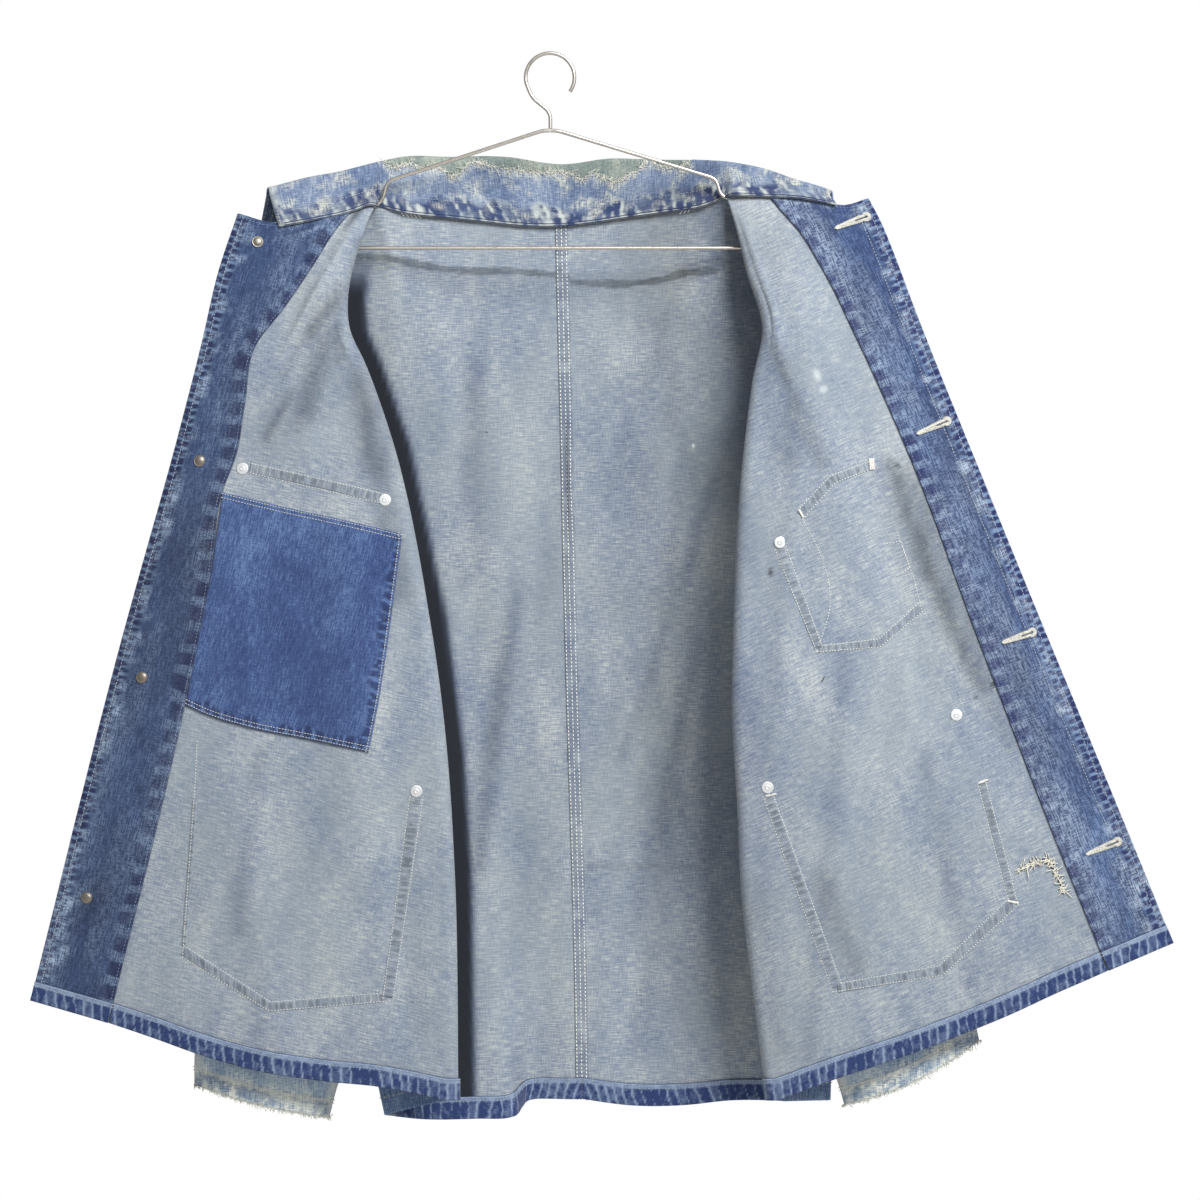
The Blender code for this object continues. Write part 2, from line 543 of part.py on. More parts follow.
def build():
    for old in list(bpy.data.objects):
        bpy.data.objects.remove(old, do_unlink=True)
    toward = (0, -1, 0)
    half = CLOTH / 2
    fronts = {"right": front_grid(RIGHT_FRONT), "left": front_grid(LEFT_FRONT)}
    backs = {"right": back_grid(RIGHT_FRONT, RIGHT_BACK), "left": back_grid(LEFT_FRONT, LEFT_BACK)}

    door, beside = build_front("right", RIGHT_FRONT, fronts["right"], THIN_COLUMN, RIGHT_RIVETS,
                               RIGHT_CHEST_POCKET, RIGHT_LOWER_POCKET)
    wall("inner_patch", cut_out(beside, INNER_PATCH), half + GAP, half + GAP + POCKET_CLOTH, DENIM_DARK)
    for number, place in enumerate(BUTTON_PLACES, 1):
        disc(f"button_{number}", door, place, -half, BUTTON_RADIUS, BUTTON_HEIGHT, NICKEL, sides=16)
        disc(f"button_nail_{number}", door, place, half + GAP + FACING_CLOTH, NAIL_RADIUS, NAIL_HEIGHT, NICKEL)
    build_front("left", LEFT_FRONT, fronts["left"], THIN_COLUMN, LEFT_RIVETS, LEFT_CHEST_POCKET, LEFT_LOWER_POCKET)

    for side, grid in backs.items():
        wall(f"back_{side}", sheet_of(grid, toward), -half, half, DENIM_REVERSE)
        hem = part_of(grid, toward, rows=slice(-2, None), columns=slice(0, -1))
        wall(f"hem_back_{side}", hem, half + GAP, half + GAP + HEM_TURN_UP, DENIM_OUTSIDE)

    for side, rings in (("right", RIGHT_SLEEVE), ("left", LEFT_SLEEVE)):
        for half_name, panel, way in (("front", fronts[side], -1), ("back", backs[side], 1)):
            grid = sleeve_half(rings, panel, way)
            wall(f"sleeve_{half_name}_{side}", sheet_of(grid, toward), -half, half, DENIM_OUTSIDE)

    lift = np.array((0, 0, COLLAR_GAP))
    picks = [1, 2, FACING_CELLS, THIN_COLUMN + 3, FOLD_COLUMN - 1]
    seam = [fronts["right"][0, i] for i in picks]
    seam += [backs["right"][0, i] for i in range(NECK_CELLS, 0, -1)]
    seam += [(backs["right"][0, 0] + backs["left"][0, 0]) / 2]
    seam += [backs["left"][0, i] for i in range(1, NECK_CELLS + 1)]
    seam += [fronts["left"][0, i] for i in reversed(picks)]
    collar = collar_grid([p + lift for p in seam])
    wall("collar", sheet_of(collar, toward), -half, half, DENIM_OUTSIDE)
    build_hanger()


build()
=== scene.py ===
# %% [markdown]
# # A worn denim work jacket on a wire hanger
# The jacket hangs open, with both fronts swung outwards so that their pale insides face us. This lesson dresses the
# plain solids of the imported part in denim: thin shells with folds, puckered edges, stitches, frays and metal.
# Lengths are in millimetres wherever a number describes cloth, and they turn into metres when a mesh is made.

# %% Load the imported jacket
import json
import math

import bmesh
import bpy
import numpy as np
from mathutils import Matrix, Vector
from mathutils.bvhtree import BVHTree


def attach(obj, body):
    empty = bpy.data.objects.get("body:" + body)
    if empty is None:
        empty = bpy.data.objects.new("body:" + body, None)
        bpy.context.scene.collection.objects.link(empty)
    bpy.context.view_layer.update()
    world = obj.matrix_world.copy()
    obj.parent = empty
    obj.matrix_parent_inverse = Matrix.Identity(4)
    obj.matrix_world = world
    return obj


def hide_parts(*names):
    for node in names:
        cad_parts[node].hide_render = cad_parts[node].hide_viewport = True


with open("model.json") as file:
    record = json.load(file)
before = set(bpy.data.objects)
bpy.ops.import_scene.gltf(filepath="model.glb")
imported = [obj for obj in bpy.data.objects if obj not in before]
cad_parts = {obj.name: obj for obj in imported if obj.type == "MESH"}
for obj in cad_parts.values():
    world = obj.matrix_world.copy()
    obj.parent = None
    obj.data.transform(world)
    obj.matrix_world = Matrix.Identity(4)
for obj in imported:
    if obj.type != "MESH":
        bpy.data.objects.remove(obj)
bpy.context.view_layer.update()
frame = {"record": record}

# %% [markdown]
# ## The camera
# The photograph looks straight at the jacket from far off. A frame 960 mm wide at the hanger's depth, seen from 3 m,
# gives the lens. The same point is the eye from which the outlines below are written: x and z are where a line of
# sight crosses the hanger's plane, and y is the true depth behind that plane.

# %% Place the camera at the eye
EYE = np.array((40.0, -3000.0, -436.0))
FRAME_WIDTH = 960.0

camera_data = bpy.data.cameras.new("camera")
camera_data.sensor_width = 36
camera_data.lens = camera_data.sensor_width * -EYE[1] / FRAME_WIDTH
camera = bpy.data.objects.new("camera", camera_data)
camera.location = EYE * 0.001
camera.rotation_euler = (math.pi / 2, 0, 0)
bpy.context.scene.collection.objects.link(camera)
bpy.context.scene.camera = camera
print("lens", round(camera_data.lens, 1), "mm")

# %% [markdown]
# ## Light and floor
# A white room lights the cloth from all round, a little dimmer than it looks, so that the folds keep their shade.
# One wide, soft lamp stands high in front and to the right. The floor is below the picture's lower edge.

# %% Light the room
scene = bpy.context.scene
scene.view_settings.view_transform = "Standard"
world = bpy.data.worlds.new("white room")
world.use_nodes = True
ROOM_LIGHT = 0.47
background = world.node_tree.nodes["Background"]
seen = world.node_tree.nodes.new("ShaderNodeLightPath")
strength = world.node_tree.nodes.new("ShaderNodeMapRange")
strength.inputs["To Min"].default_value = ROOM_LIGHT
world.node_tree.links.new(seen.outputs["Is Camera Ray"], strength.inputs["Value"])
world.node_tree.links.new(strength.outputs["Result"], background.inputs["Strength"])
background.inputs["Color"].default_value = (1, 1, 1, 1)
scene.world = world


def lamp(name, place, aim, size, power):
    """A square lamp in metres that looks at a point."""
    data = bpy.data.lights.new(name, "AREA")
    data.size = size
    data.energy = power
    made = bpy.data.objects.new(name, data)
    made.location = place
    made.rotation_euler = (Vector(aim) - Vector(place)).to_track_quat("-Z", "Y").to_euler()
    scene.collection.objects.link(made)


lamp("key lamp", (1.05, -1.95, 1.25), (0.03, 0, -0.4), 1.1, 122)

floor_mesh = bmesh.new()
bmesh.ops.create_circle(floor_mesh, cap_ends=True, segments=64, radius=2.0)
floor_data = bpy.data.meshes.new("floor")
floor_mesh.to_mesh(floor_data)
floor_mesh.free()
floor_data.transform(Matrix.Translation((0, 0, -1.5)))
floor = bpy.data.objects.new("floor", floor_data)
scene.collection.objects.link(floor)

# %% [markdown]
# ## Colours and nodes
# Colours are read off as sRGB hex values, while shaders count in linear light, so one function turns them over.
# One more function adds a node, sets its properties and fills or links its sockets.

# %% A colour function and a node function


def linear(code):
    """Linear RGBA from an sRGB hex value such as #5a6b8c."""
    parts = [int(code[i:i + 2], 16) / 255 for i in (1, 3, 5)]
    return tuple(c / 12.92 if c <= 0.04045 else ((c + 0.055) / 1.055) ** 2.4 for c in parts) + (1.0,)


def add(tree, kind, sockets=None, **settings):
    """A node of a kind, with its properties set and its sockets filled by values or links."""
    node = tree.nodes.new(kind)
    for key, value in settings.items():
        setattr(node, key, value)
    for key, value in (sockets or {}).items():
        socket = node.inputs[key]
        if isinstance(value, bpy.types.NodeSocket):
            tree.links.new(value, socket)
        else:
            socket.default_value = value
    return node


def new_material(name):
    """An empty material's node tree, with its shader already at the output."""
    made = bpy.data.materials.new(name)
    made.use_nodes = True
    return made, made.node_tree, made.node_tree.nodes["Principled BSDF"]

# %% [markdown]
# ## The lines of the garment
# Each panel is drawn between a few lines: its edge, the facing's seam, the fold, the cloth behind the fold and the
# side seam, all from the neck to the hem. They are the same lines, with the same sizes, as the solid panels have, so
# the fine cloth lies where the solids are.

# %% The lines of both fronts, the back, the sleeves and the collar
CLOTH, FACING_CLOTH, POCKET_CLOTH, GAP = 1.5, 1.2, 1.2, 0.4
SIDE_SEAM_HALF, ARMHOLE_HALF_WIDTH, SHOULDER_SPREAD = 0.95, 15.0, 3.7
ARMHOLE_FOOT, HEM_START, FOLD_RADIUS = 0.354, 0.976, 8.0
FACING_NECK_SHARE, NECK_SHARE, BACK_CURVE = 0.84, 0.62, 2.2
COLLAR_GAP, SLEEVE_GAP, ROLL_RADIUS = 0.8, 0.9, 4.5

RIGHT_FRONT = {
    "inward": 1,
    "edge": [(-250, -30, -127), (-265, -36, -172), (-278, -38, -228), (-355, -42, -516), (-415, -36, -756)],
    "facing": [(-156, -9, -122), (-170, -18, -138), (-191, -27, -171), (-214, -34, -204), (-234, -38, -230),
               (-244, -42, -279), (-251, -43, -320), (-262, -45, -350), (-271, -46, -414), (-292, -48, -521),
               (-353, -42, -774)],
    "fold": [(-139, -3.5, -117), (-146, -12, -132), (-154, -22, -156), (-162, -34, -196), (-160, -39, -221),
             (-149, -43, -246), (-126, -50, -312), (-97, -56, -450), (-83, -58, -557), (-77, -56, -649),
             (-74, -50, -836)],
    "behind": [(-142, -1.3, -117.2), (-150, -5, -134), (-162, -8.5, -158), (-176, -9, -198), (-170, -6, -250),
               (-150, 0, -320), (-118, 6, -455), (-104, 6, -560), (-96, 0, -660), (-92, -14, -838)],
    "side": [(-232, 0, -164), (-213, 0, -200), (-205, 2, -285), (-213, 4, -360), (-226, 5, -406),
             (-208, 7, -520), (-165, 9, -700), (-132, 9, -848)],
    "neck": [(-250, -30, -127), (-219, -25, -134), (-190, -18, -128), (-156, -9, -119), (-139, -3.5, -117)],
    "shoulder": [(-142, 0, -117.2), (-200, 0, -136), (-220, 0, -146), (-232, 0, -164)],
    "hem": [(-353, -42, -774), (-316, -44, -786), (-282, -47, -798), (-236, -50, -811), (-174, -52, -821),
            (-132, -52, -825), (-74, -50, -836)],
    "folds": [((-176, -140), (-196, -330), 16, 5), ((-162, -330), (-152, -640), 26, 4),
              ((-245, -560), (-300, -780), 34, 3)],
}
LEFT_FRONT = {
    "inward": -1,
    "edge": [(255, -30, -115), (264, -33, -132), (274, -35, -156), (289, -38, -196), (353, -42, -356),
             (458, -42, -612), (498, -34, -710)],
    "facing": [(174, -9, -112), (185, -17, -125), (199, -24, -141), (217, -30, -170), (244, -36, -224),
               (286, -42, -317), (342, -46, -466), (412, -46, -648), (446, -40, -732)],
    "fold": [(141, -3.5, -111), (148, -13, -133), (158, -26, -174), (170, -38, -214), (162, -44, -265),
             (152, -50, -354), (147, -56, -468), (146, -58, -516), (150, -58, -595), (154, -56, -674),
             (162, -52, -741), (174, -46, -836)],
    "behind": [(144, -1.3, -111), (152, -5, -135), (164, -9, -170), (186, -9, -215), (182, -4, -270),
               (172, 1, -354), (168, 6, -468), (168, 6, -600), (176, 0, -700), (190, -14, -837)],
    "side": [(237, 0, -160), (219, 0, -198), (212, 2, -285), (218, 4, -360), (230, 5, -406),
             (229, 7, -520), (228, 9, -690), (224, 9, -836)],
    "neck": [(255, -30, -115), (232, -26, -120), (205, -20, -115), (174, -9, -109), (141, -3.5, -111)],
    "shoulder": [(144, 0, -111), (200, 0, -129.5), (222, 0, -140), (237, 0, -160)],
    "hem": [(446, -40, -732), (404, -42, -750), (364, -44, -768), (286, -47, -798), (219, -48, -820),
            (174, -46, -836)],
    "folds": [((196, -150), (236, -420), 24, 5), ((232, -500), (206, -800), 26, 5),
              ((330, -560), (372, -760), 34, 3)],
}
CENTRE_BACK = [(9, 38, -134), (13, 44, -300), (18, 46, -516), (24, 44, -716), (26, 42, -835)]
RIGHT_BACK = {
    "neck": [(9, 38, -134), (-30, 36, -133), (-70, 30, -128), (-112, 16, -124), (-142, 0, -117.2)],
    "hem": [(26, 42, -835), (-20, 40, -837), (-24, 28, -842), (-29, 14, -849), (-60, 9, -851), (-105, 12, -851),
            (-132, 9, -848)],
    "folds": [((4, -330), (-88, -640), 22, -6), ((-150, -250), (-190, -560), 30, -6)],
}
LEFT_BACK = {
    "neck": [(9, 38, -134), (44, 36, -130), (82, 30, -124), (116, 16, -120), (144, 0, -111)],
    "hem": [(26, 42, -835), (64, 40, -840), (104, 37, -840), (144, 34, -836), (190, 24, -836), (224, 9, -836)],
    "folds": [((150, -230), (76, -520), 22, -7), ((196, -300), (160, -760), 26, -6), ((76, -520), (70, -800), 30, -4)],
}
SMALL_FOLDS = {
    "right": [((-146, -122), (-206, -235), 5, 3.2), ((-140, -126), (-180, -300), 7, -2.6), ((-152, -200), (-118, -330), 8, 2.6),
              ((-205, -250), (-214, -330), 14, 2.5), ((-120, -600), (-108, -800), 12, -2.2), ((-240, -600), (-214, -800), 16, 2.4)],
    "left": [((148, -118), (182, -240), 6, 3.0), ((170, -221), (196, -310), 5, -1.8), ((250, -330), (300, -520), 12, -2.6),
             ((196, -330), (180, -560), 10, 2.4), ((286, -480), (262, -700), 14, 2.6)],
    "back": [((-24, -420), (-58, -690), 10, 3.6), ((-70, -230), (-60, -520), 13, -3.2), ((150, -250), (40, -600), 9, 3.6),
             ((118, -430), (60, -800), 12, -3.4), ((-10, -700), (-40, -830), 12, 2.5), ((110, -190), (60, -330), 10, 2.5)],
}
RIGHT_SLEEVE = [
    ((-247, -178), (-236, -411), 3, 16, 0), ((-259, -212), (-236, -434), -1, 17, 0),
    ((-267, -270), (-232, -462), -6, 17, 0), ((-272, -340), (-222, -507), -12, 16, 0),
    ((-275, -420), (-200, -555), -18, 15, 0), ((-278, -505), (-176, -607), -19, 15, 0),
    ((-280, -600), (-161, -667), -18, 15, 0), ((-282, -690), (-157, -733), -17, 15, 0),
    ((-283, -770), (-164, -800), -16, 14, 0), ((-284, -806), (-172, -830), -16, 14, 2),
    ((-284, -824), (-177, -850), -16, 14, 4),
]
LEFT_SLEEVE = [
    ((252, -176), (240, -411), 3, 16, 0), ((268, -212), (241, -438), -1, 17, 0),
    ((280, -266), (242, -470), -6, 17, 0), ((290, -334), (240, -516), -12, 16, 0),
    ((299, -412), (230, -562), -18, 15, 0), ((308, -497), (216, -612), -19, 15, 0),
    ((317, -590), (207, -672), -18, 15, 0), ((326, -680), (208, -735), -17, 15, 0),
    ((336, -752), (222, -797), -16, 14, 0), ((340, -774), (231, -823), -16, 14, 5),
    ((343, -789), (236, -840), -16, 14, 8),
]
COLLAR_SEAM_X = [-219, -190, -156, -141, -112, -70, -30, 9, 44, 82, 116, 143, 174, 205, 232]
COLLAR_ROLL = [(-229, -20, -108), (-196, -13, -100), (-158, -2, -91), (-138, 7, -86), (-112, 18, -82),
               (-74, 32, -82), (-34, 40, -82), (9, 44, -88), (48, 41, -83), (84, 34, -84), (118, 20, -85),
               (142, 7, -86), (170, -2, -92), (204, -15, -102), (231, -22, -112)]
COLLAR_LEAF = [(-240, 26, -166), (-204, 28, -160), (-166, 32, -152), (-142, 38, -148), (-114, 45, -146),
               (-74, 54, -146), (-34, 58, -147), (9, 60, -150), (48, 58, -147), (84, 54, -147), (120, 46, -148),
               (146, 38, -149), (176, 32, -155), (212, 28, -164), (242, 26, -172)]

# %% [markdown]
# ## Curves through the lines
# A cardinal spline carries each line smoothly through its points, and reads many places on it at once. A line down
# a panel is read by height, and a line across it by length.

# %% Splines and soft steps


def smooth(knots, values):
    """A curve through the values at the knots, read at an array of places."""
    knots, values = np.asarray(knots, float), np.asarray(values, float)
    slopes = np.gradient(values, knots, axis=0)

    def at(places):
        t = np.atleast_1d(np.asarray(places, float))
        i = np.clip(np.searchsorted(knots, t) - 1, 0, len(knots) - 2)
        span = (knots[i + 1] - knots[i])[:, None]
        u = (t - knots[i])[:, None] / span
        a, b, p, q = values[i], values[i + 1], slopes[i], slopes[i + 1]
        rise = a * (1 + 2 * u) * (1 - u) ** 2 + b * u * u * (3 - 2 * u)
        return rise + p * span * u * (1 - u) ** 2 - q * span * u * u * (1 - u)

    return at


def by_height(points):
    heights = [p[2] for p in points]
    return smooth([(heights[0] - h) / (heights[0] - heights[-1]) for h in heights], points)


def by_length(points):
    steps = np.linalg.norm(np.diff(np.asarray(points, float), axis=0), axis=1)
    return smooth(np.concatenate([[0], np.cumsum(steps)]) / steps.sum(), points)


def soft_step(value):
    value = np.clip(value, 0, 1)
    return value * value * (3 - 2 * value)


def sight(points):
    """Points at their true depth y that cover (x, z) of the hanger's plane when seen from the eye."""
    share = (points[..., 1:2] - EYE[1]) / -EYE[1]
    seen = points.copy()
    seen[..., 0:1] = EYE[0] + (points[..., 0:1] - EYE[0]) * share
    seen[..., 2:3] = EYE[2] + (points[..., 2:3] - EYE[2]) * share
    return seen


def crease(x, z, folds):
    """How far forward soft folds push the cloth. Each has a head, a foot, a width and a height."""
    forward = np.zeros_like(x)
    for (head_x, head_z), (foot_x, foot_z), width, height in folds:
        along = (head_z - z) / (head_z - foot_z)
        fade = soft_step((along + 0.25) / 0.5) * soft_step((1.25 - along) / 0.5)
        across = (x - head_x - (foot_x - head_x) * along) / width
        forward += height * fade * np.exp(-across * across)
    return forward

# %% [markdown]
# ## Soft noise
# Worn cloth is never even. Value noise gives each square of a grid its own random number and runs smoothly between
# them. It needs no random generator, so the jacket comes out the same each time.

# %% Value noise for relief, puckers and wear


def noise(x, y, seed):
    """Smooth noise from -1 to 1 whose grid squares are one unit wide."""
    x, y = np.asarray(x, float), np.asarray(y, float)
    left, low = np.floor(x), np.floor(y)

    def corner(i, j):
        value = np.sin((left + i) * 127.1 + (low + j) * 311.7 + seed * 74.7) * 43758.5453
        return value - np.floor(value)

    u, v = soft_step(x - left), soft_step(y - low)
    lower = corner(0, 0) * (1 - u) + corner(1, 0) * u
    upper = corner(0, 1) * (1 - u) + corner(1, 1) * u
    return 2 * (lower * (1 - v) + upper * v) - 1


def puckers(run, across, seed, pitch=9.0, width=13.0, slant=0.12, fill=0.85):
    """The lozenges of a shrunken edge by the way along and across it: -1 in a dark lozenge, 1 on the pale between."""
    across = np.asarray(across)
    place = (run + slant * across) / pitch + 0.4 * noise(run / (2.3 * pitch), across / 60, seed) + 0.09 * noise(run / 3, across / 3, seed + 2)
    number = np.floor(place)
    middle = np.abs(2 * (place - number) - 1)
    random = 0.5 + 0.5 * noise(number + 0.5, 0.5 + 0 * number, seed + 9)
    end = np.abs(2 * across / width - 1)
    far = ((middle / (fill * (0.78 + 0.4 * random))) ** 3 + end ** 3) ** (1 / 3)
    hollow = soft_step((1.15 - far) / 0.4)
    broken = 0.4 * noise(run / 2.6, across / 4.5, seed + 5) + 0.22 * noise(run / 1.3, across / 2, seed + 6)
    return np.clip(1 - 2 * hollow * (0.55 + 0.45 * random) + broken, -1, 1)

# %% [markdown]
# ## The panels
# A Coons patch fills the space between four edges: the two lines at its sides, and two curves at its top and foot
# that fade out towards its middle. A front is one piece of cloth, so its grid runs from its edge over the facing's
# seam to the fold, round it and back behind itself to the side seam.

# %% Grids of points for a front and for half of the back


def patch(left, right, top, bottom, shares, heights, top_power, bottom_power):
    """A Coons patch: left and right by height, top and bottom by share, or no bend where a curve is None."""
    s = np.asarray(shares, float)
    t = np.asarray(heights, float)[:, None, None]
    grid = (1 - s)[None, :, None] * left[:, None] + s[None, :, None] * right[:, None]
    for curve, fade in ((top, (1 - t) ** top_power), (bottom, t ** bottom_power)):
        if curve is not None:
            ends = curve([0, 1])
            grid = grid + (curve(s) - (1 - s)[:, None] * ends[0] - s[:, None] * ends[1])[None] * fade
    return grid


def half_width(t):
    """Half of the armhole's opening in depth, which closes to the side seam at its foot."""
    t = np.asarray(t, float)
    wide = np.sin(np.pi * np.clip(t / ARMHOLE_FOOT, 0, 1)) ** 0.6
    return SIDE_SEAM_HALF + ARMHOLE_HALF_WIDTH * np.where(t < ARMHOLE_FOOT, wide, 0)


def shoulder_spread(t):
    return SHOULDER_SPREAD * soft_step(t / 0.01) * (1 - soft_step((t - 0.01) / 0.1))


def front_grid(front, heights, facing=(), door=(), arc=(), behind=()):
    """The middle of a front's cloth at some shares of its facing, door, fold (in degrees) and returning part."""
    t = np.asarray(heights, float)
    inward = front["inward"]
    edge, seam, fold, back, side = (by_height(front[k])(t) for k in ("edge", "facing", "fold", "behind", "side"))
    neck = by_length(front["neck"])
    radius = (1.3 + (FOLD_RADIUS - 1.3) * soft_step(t / 0.12))[:, None]
    strips = []
    if len(facing):
        strips.append(patch(edge, seam, lambda s: neck(np.asarray(s) * FACING_NECK_SHARE), None, facing, t, 8, 2))
    if len(door):
        top = by_length(neck(FACING_NECK_SHARE + (1 - FACING_NECK_SHARE) * np.linspace(0, 1, 5)))
        start = fold - inward * radius * np.array((1, 0, 0))
        strips.append(patch(seam, start, top, by_length(front["hem"]), door, t, 8, 2))
    for strip in strips:
        strip[..., 1] -= crease(strip[..., 0], strip[..., 2], front["folds"])
    if len(arc):
        a = np.radians(arc)[None, :]
        turn = fold[:, None] + np.zeros((1, len(arc), 1))
        turn[..., 0] += inward * radius * (np.sin(a) - 1)
        turn[..., 1] += radius * (1 - np.cos(a))
        strips.append(turn)
    if len(behind):
        end = side - np.stack([0 * t, half_width(t), 0 * t], 1)
        s = np.asarray(behind, float)
        returning = patch(back, end, by_length(front["shoulder"]), None, s, t, 8, 2)
        returning[..., 1] -= shoulder_spread(t)[:, None] * np.sin(np.pi * (0.25 + 0.5 * s))[None]
        strips.append(returning)
    return sight(np.concatenate(strips, axis=1))


def back_grid(front, back, heights, shares):
    """The middle of half of the back's cloth, from the centre seam to the side."""
    t, s = np.asarray(heights, float), np.asarray(shares, float)
    shift = np.array((math.copysign(0.2, front["side"][0][0]), 0, 0))
    start = by_height(CENTRE_BACK)
    neck, shoulder, hem = by_length(back["neck"]), by_length(front["shoulder"]), by_length(back["hem"])
    side = by_height(front["side"])

    def plain(t):
        a = start(t)[:, None] + shift * (1 - s)[None, :, None]
        b = (side(t) + np.stack([0 * t, half_width(t), 0 * t], 1))[:, None]
        point = (1 - s)[None, :, None] * a + s[None, :, None] * b
        point[..., 1] = a[..., 1] + (b[..., 1] - a[..., 1]) * s[None] ** BACK_CURVE
        return point

    over = s > NECK_SHARE
    top = np.where(over[:, None], shoulder((s - NECK_SHARE) / (1 - NECK_SHARE)), neck(np.minimum(1, s / NECK_SHARE)))
    top = top + shift * np.maximum(0, 1 - s / NECK_SHARE)[:, None]
    top[:, 1] += SIDE_SEAM_HALF * np.minimum(1, s / NECK_SHARE)
    foot = hem(s) + shift * (1 - s)[:, None]
    foot[:, 1] += SIDE_SEAM_HALF * s
    fade = t[:, None, None]
    grid = plain(t) + (top - plain(np.zeros(1)))[0] * (1 - fade) ** 8 + (foot - plain(np.ones(1)))[0] * fade ** 5
    wire = np.where(s >= NECK_SHARE, np.sin(np.pi * (0.25 + 0.5 * (s - NECK_SHARE) / (1 - NECK_SHARE))), 0)
    grid[..., 1] += shoulder_spread(t)[:, None] * wire[None]
    grid[..., 1] -= crease(grid[..., 0], grid[..., 2], back["folds"]) * soft_step((1 - s) / 0.15)[None]
    return sight(grid)


def directions(grid, toward=(0, -1, 0)):
    """Unit directions out of the inner face at each point of a grid."""
    away = np.cross(np.gradient(grid, axis=1), np.gradient(grid, axis=0))
    away /= np.linalg.norm(away, axis=2, keepdims=True)
    rows, columns = grid.shape[:2]
    return -away if away[rows // 2, columns // 3].dot(toward) < 0 else away


HEIGHTS = np.concatenate([np.linspace(0, 0.1, 50)[:-1], np.linspace(0.1, 0.94, 172)[:-1], np.linspace(0.94, 1, 20)])
FACING_SHARES = [0, 0.03, 0.07, 0.12, 0.18, 0.26, 0.5, 0.75, 0.9]
DOOR_SHARES = np.linspace(0, 1, 62)[:-1]
FOLD_ANGLES = np.linspace(0, 135, 10)
BEHIND_SHARES = np.linspace(0, 1, 16)
BACK_SHARES = np.linspace(0, 1, 60)
fronts = {"right": RIGHT_FRONT, "left": LEFT_FRONT}
backs = {"right": RIGHT_BACK, "left": LEFT_BACK}
print(len(HEIGHTS), "rows down each panel")

# %% [markdown]
# ## Cloth that was worn and washed
# The panels get soft relief: slow waves between the creases, and smaller dents. The reading of the noise is the same
# for every piece at one place, so a facing follows the front that it is sewn to.

# %% The middle of each panel, with its relief


def relief(grid, seed, strength=1.0):
    """Soft dents in mm by the place on the panel."""
    x, z = grid[..., 0], grid[..., 2]
    slow = noise(x / 55 + 0.3 * noise(z / 90, x / 200, seed + 3), z / 85, seed)
    quick = noise(x / 21, z / 32, seed + 1)
    return strength * (1.1 * slow + 0.45 * quick)


def fade_in(share, width=0.06):
    return soft_step(np.asarray(share) / width)


def front_surface(side, heights, facing=(), door=(), arc=(), behind=()):
    """A front's middle surface with relief that fades out at the neck and at the fold."""
    grid = front_grid(fronts[side], heights, facing, door, arc, behind)
    away = directions(front_grid(fronts[side], heights, facing, door, arc, behind))
    across = np.concatenate([np.asarray(facing) * 0, np.asarray(door), np.ones(len(arc)), np.ones(len(behind))])
    fade = fade_in(np.asarray(heights))[:, None] * fade_in(1.03 - across, 0.12)[None]
    lift = (relief(grid, 11 if side == "right" else 23) + crease(grid[..., 0], grid[..., 2], SMALL_FOLDS[side])) * fade
    if len(behind):
        returned = np.concatenate([np.zeros(len(facing) + len(door) + len(arc)), np.asarray(behind)])
        swing = fade_in(returned, 0.2) * fade_in(1 - returned, 0.2)
        lift += relief(grid, 37, 0.6) * swing[None] * fade_in(np.asarray(heights), 0.15)[:, None]
    return grid + away * lift[..., None], away


def back_surface(side, heights, shares):
    """Half of the back's middle surface with relief that fades out at the neck and at both seams."""
    grid = back_grid(fronts[side], backs[side], heights, shares)
    away = directions(grid)
    s, t = np.asarray(shares), np.asarray(heights)
    fade = fade_in(t, 0.1)[:, None] * fade_in(1 - s, 0.15)[None] * (0.25 + 0.75 * fade_in(s, 0.08))[None]
    lift = relief(grid, 51, 1.4) + crease(grid[..., 0], grid[..., 2], SMALL_FOLDS["back"])
    return grid + away * (lift * fade)[..., None], away


def flat_map(grid, tilt, origin, turned_from=None):
    """Where each point lay on the flat cloth, in metres, with v along the warp. Cloth past a fold is unrolled."""
    x, z = grid[..., 0].copy(), grid[..., 2]
    if turned_from is not None:
        steps = np.linalg.norm(np.diff(grid, axis=1), axis=2)
        run = np.concatenate([np.zeros((len(grid), 1)), np.cumsum(steps, axis=1)], axis=1)
        way = math.copysign(1, grid[0, turned_from, 0] - grid[0, 0, 0])
        x[:, turned_from:] = x[:, turned_from, None] + way * (run[:, turned_from:] - run[:, turned_from, None])
    u = (x - origin) * math.cos(tilt) + z * math.sin(tilt)
    v = z * math.cos(tilt) - (x - origin) * math.sin(tilt)
    return np.stack([u, v], -1) * 0.001


TILT = {"right": math.radians(-14.4), "left": math.radians(22.4)}
print("relief at one place:", round(float(relief(np.array([[[-200.0, -50.0, -400.0]]]), 11)[0, 0]), 2), "mm")

# %% Distances over a grid


def run_down(grid):
    """The distance down each column of a grid, in mm."""
    steps = np.linalg.norm(np.diff(grid, axis=0), axis=2)
    return np.concatenate([np.zeros((1, grid.shape[1])), np.cumsum(steps, axis=0)])


def run_across(grid):
    steps = np.linalg.norm(np.diff(grid, axis=1), axis=2)
    return np.concatenate([np.zeros((grid.shape[0], 1)), np.cumsum(steps, axis=1)], axis=1)


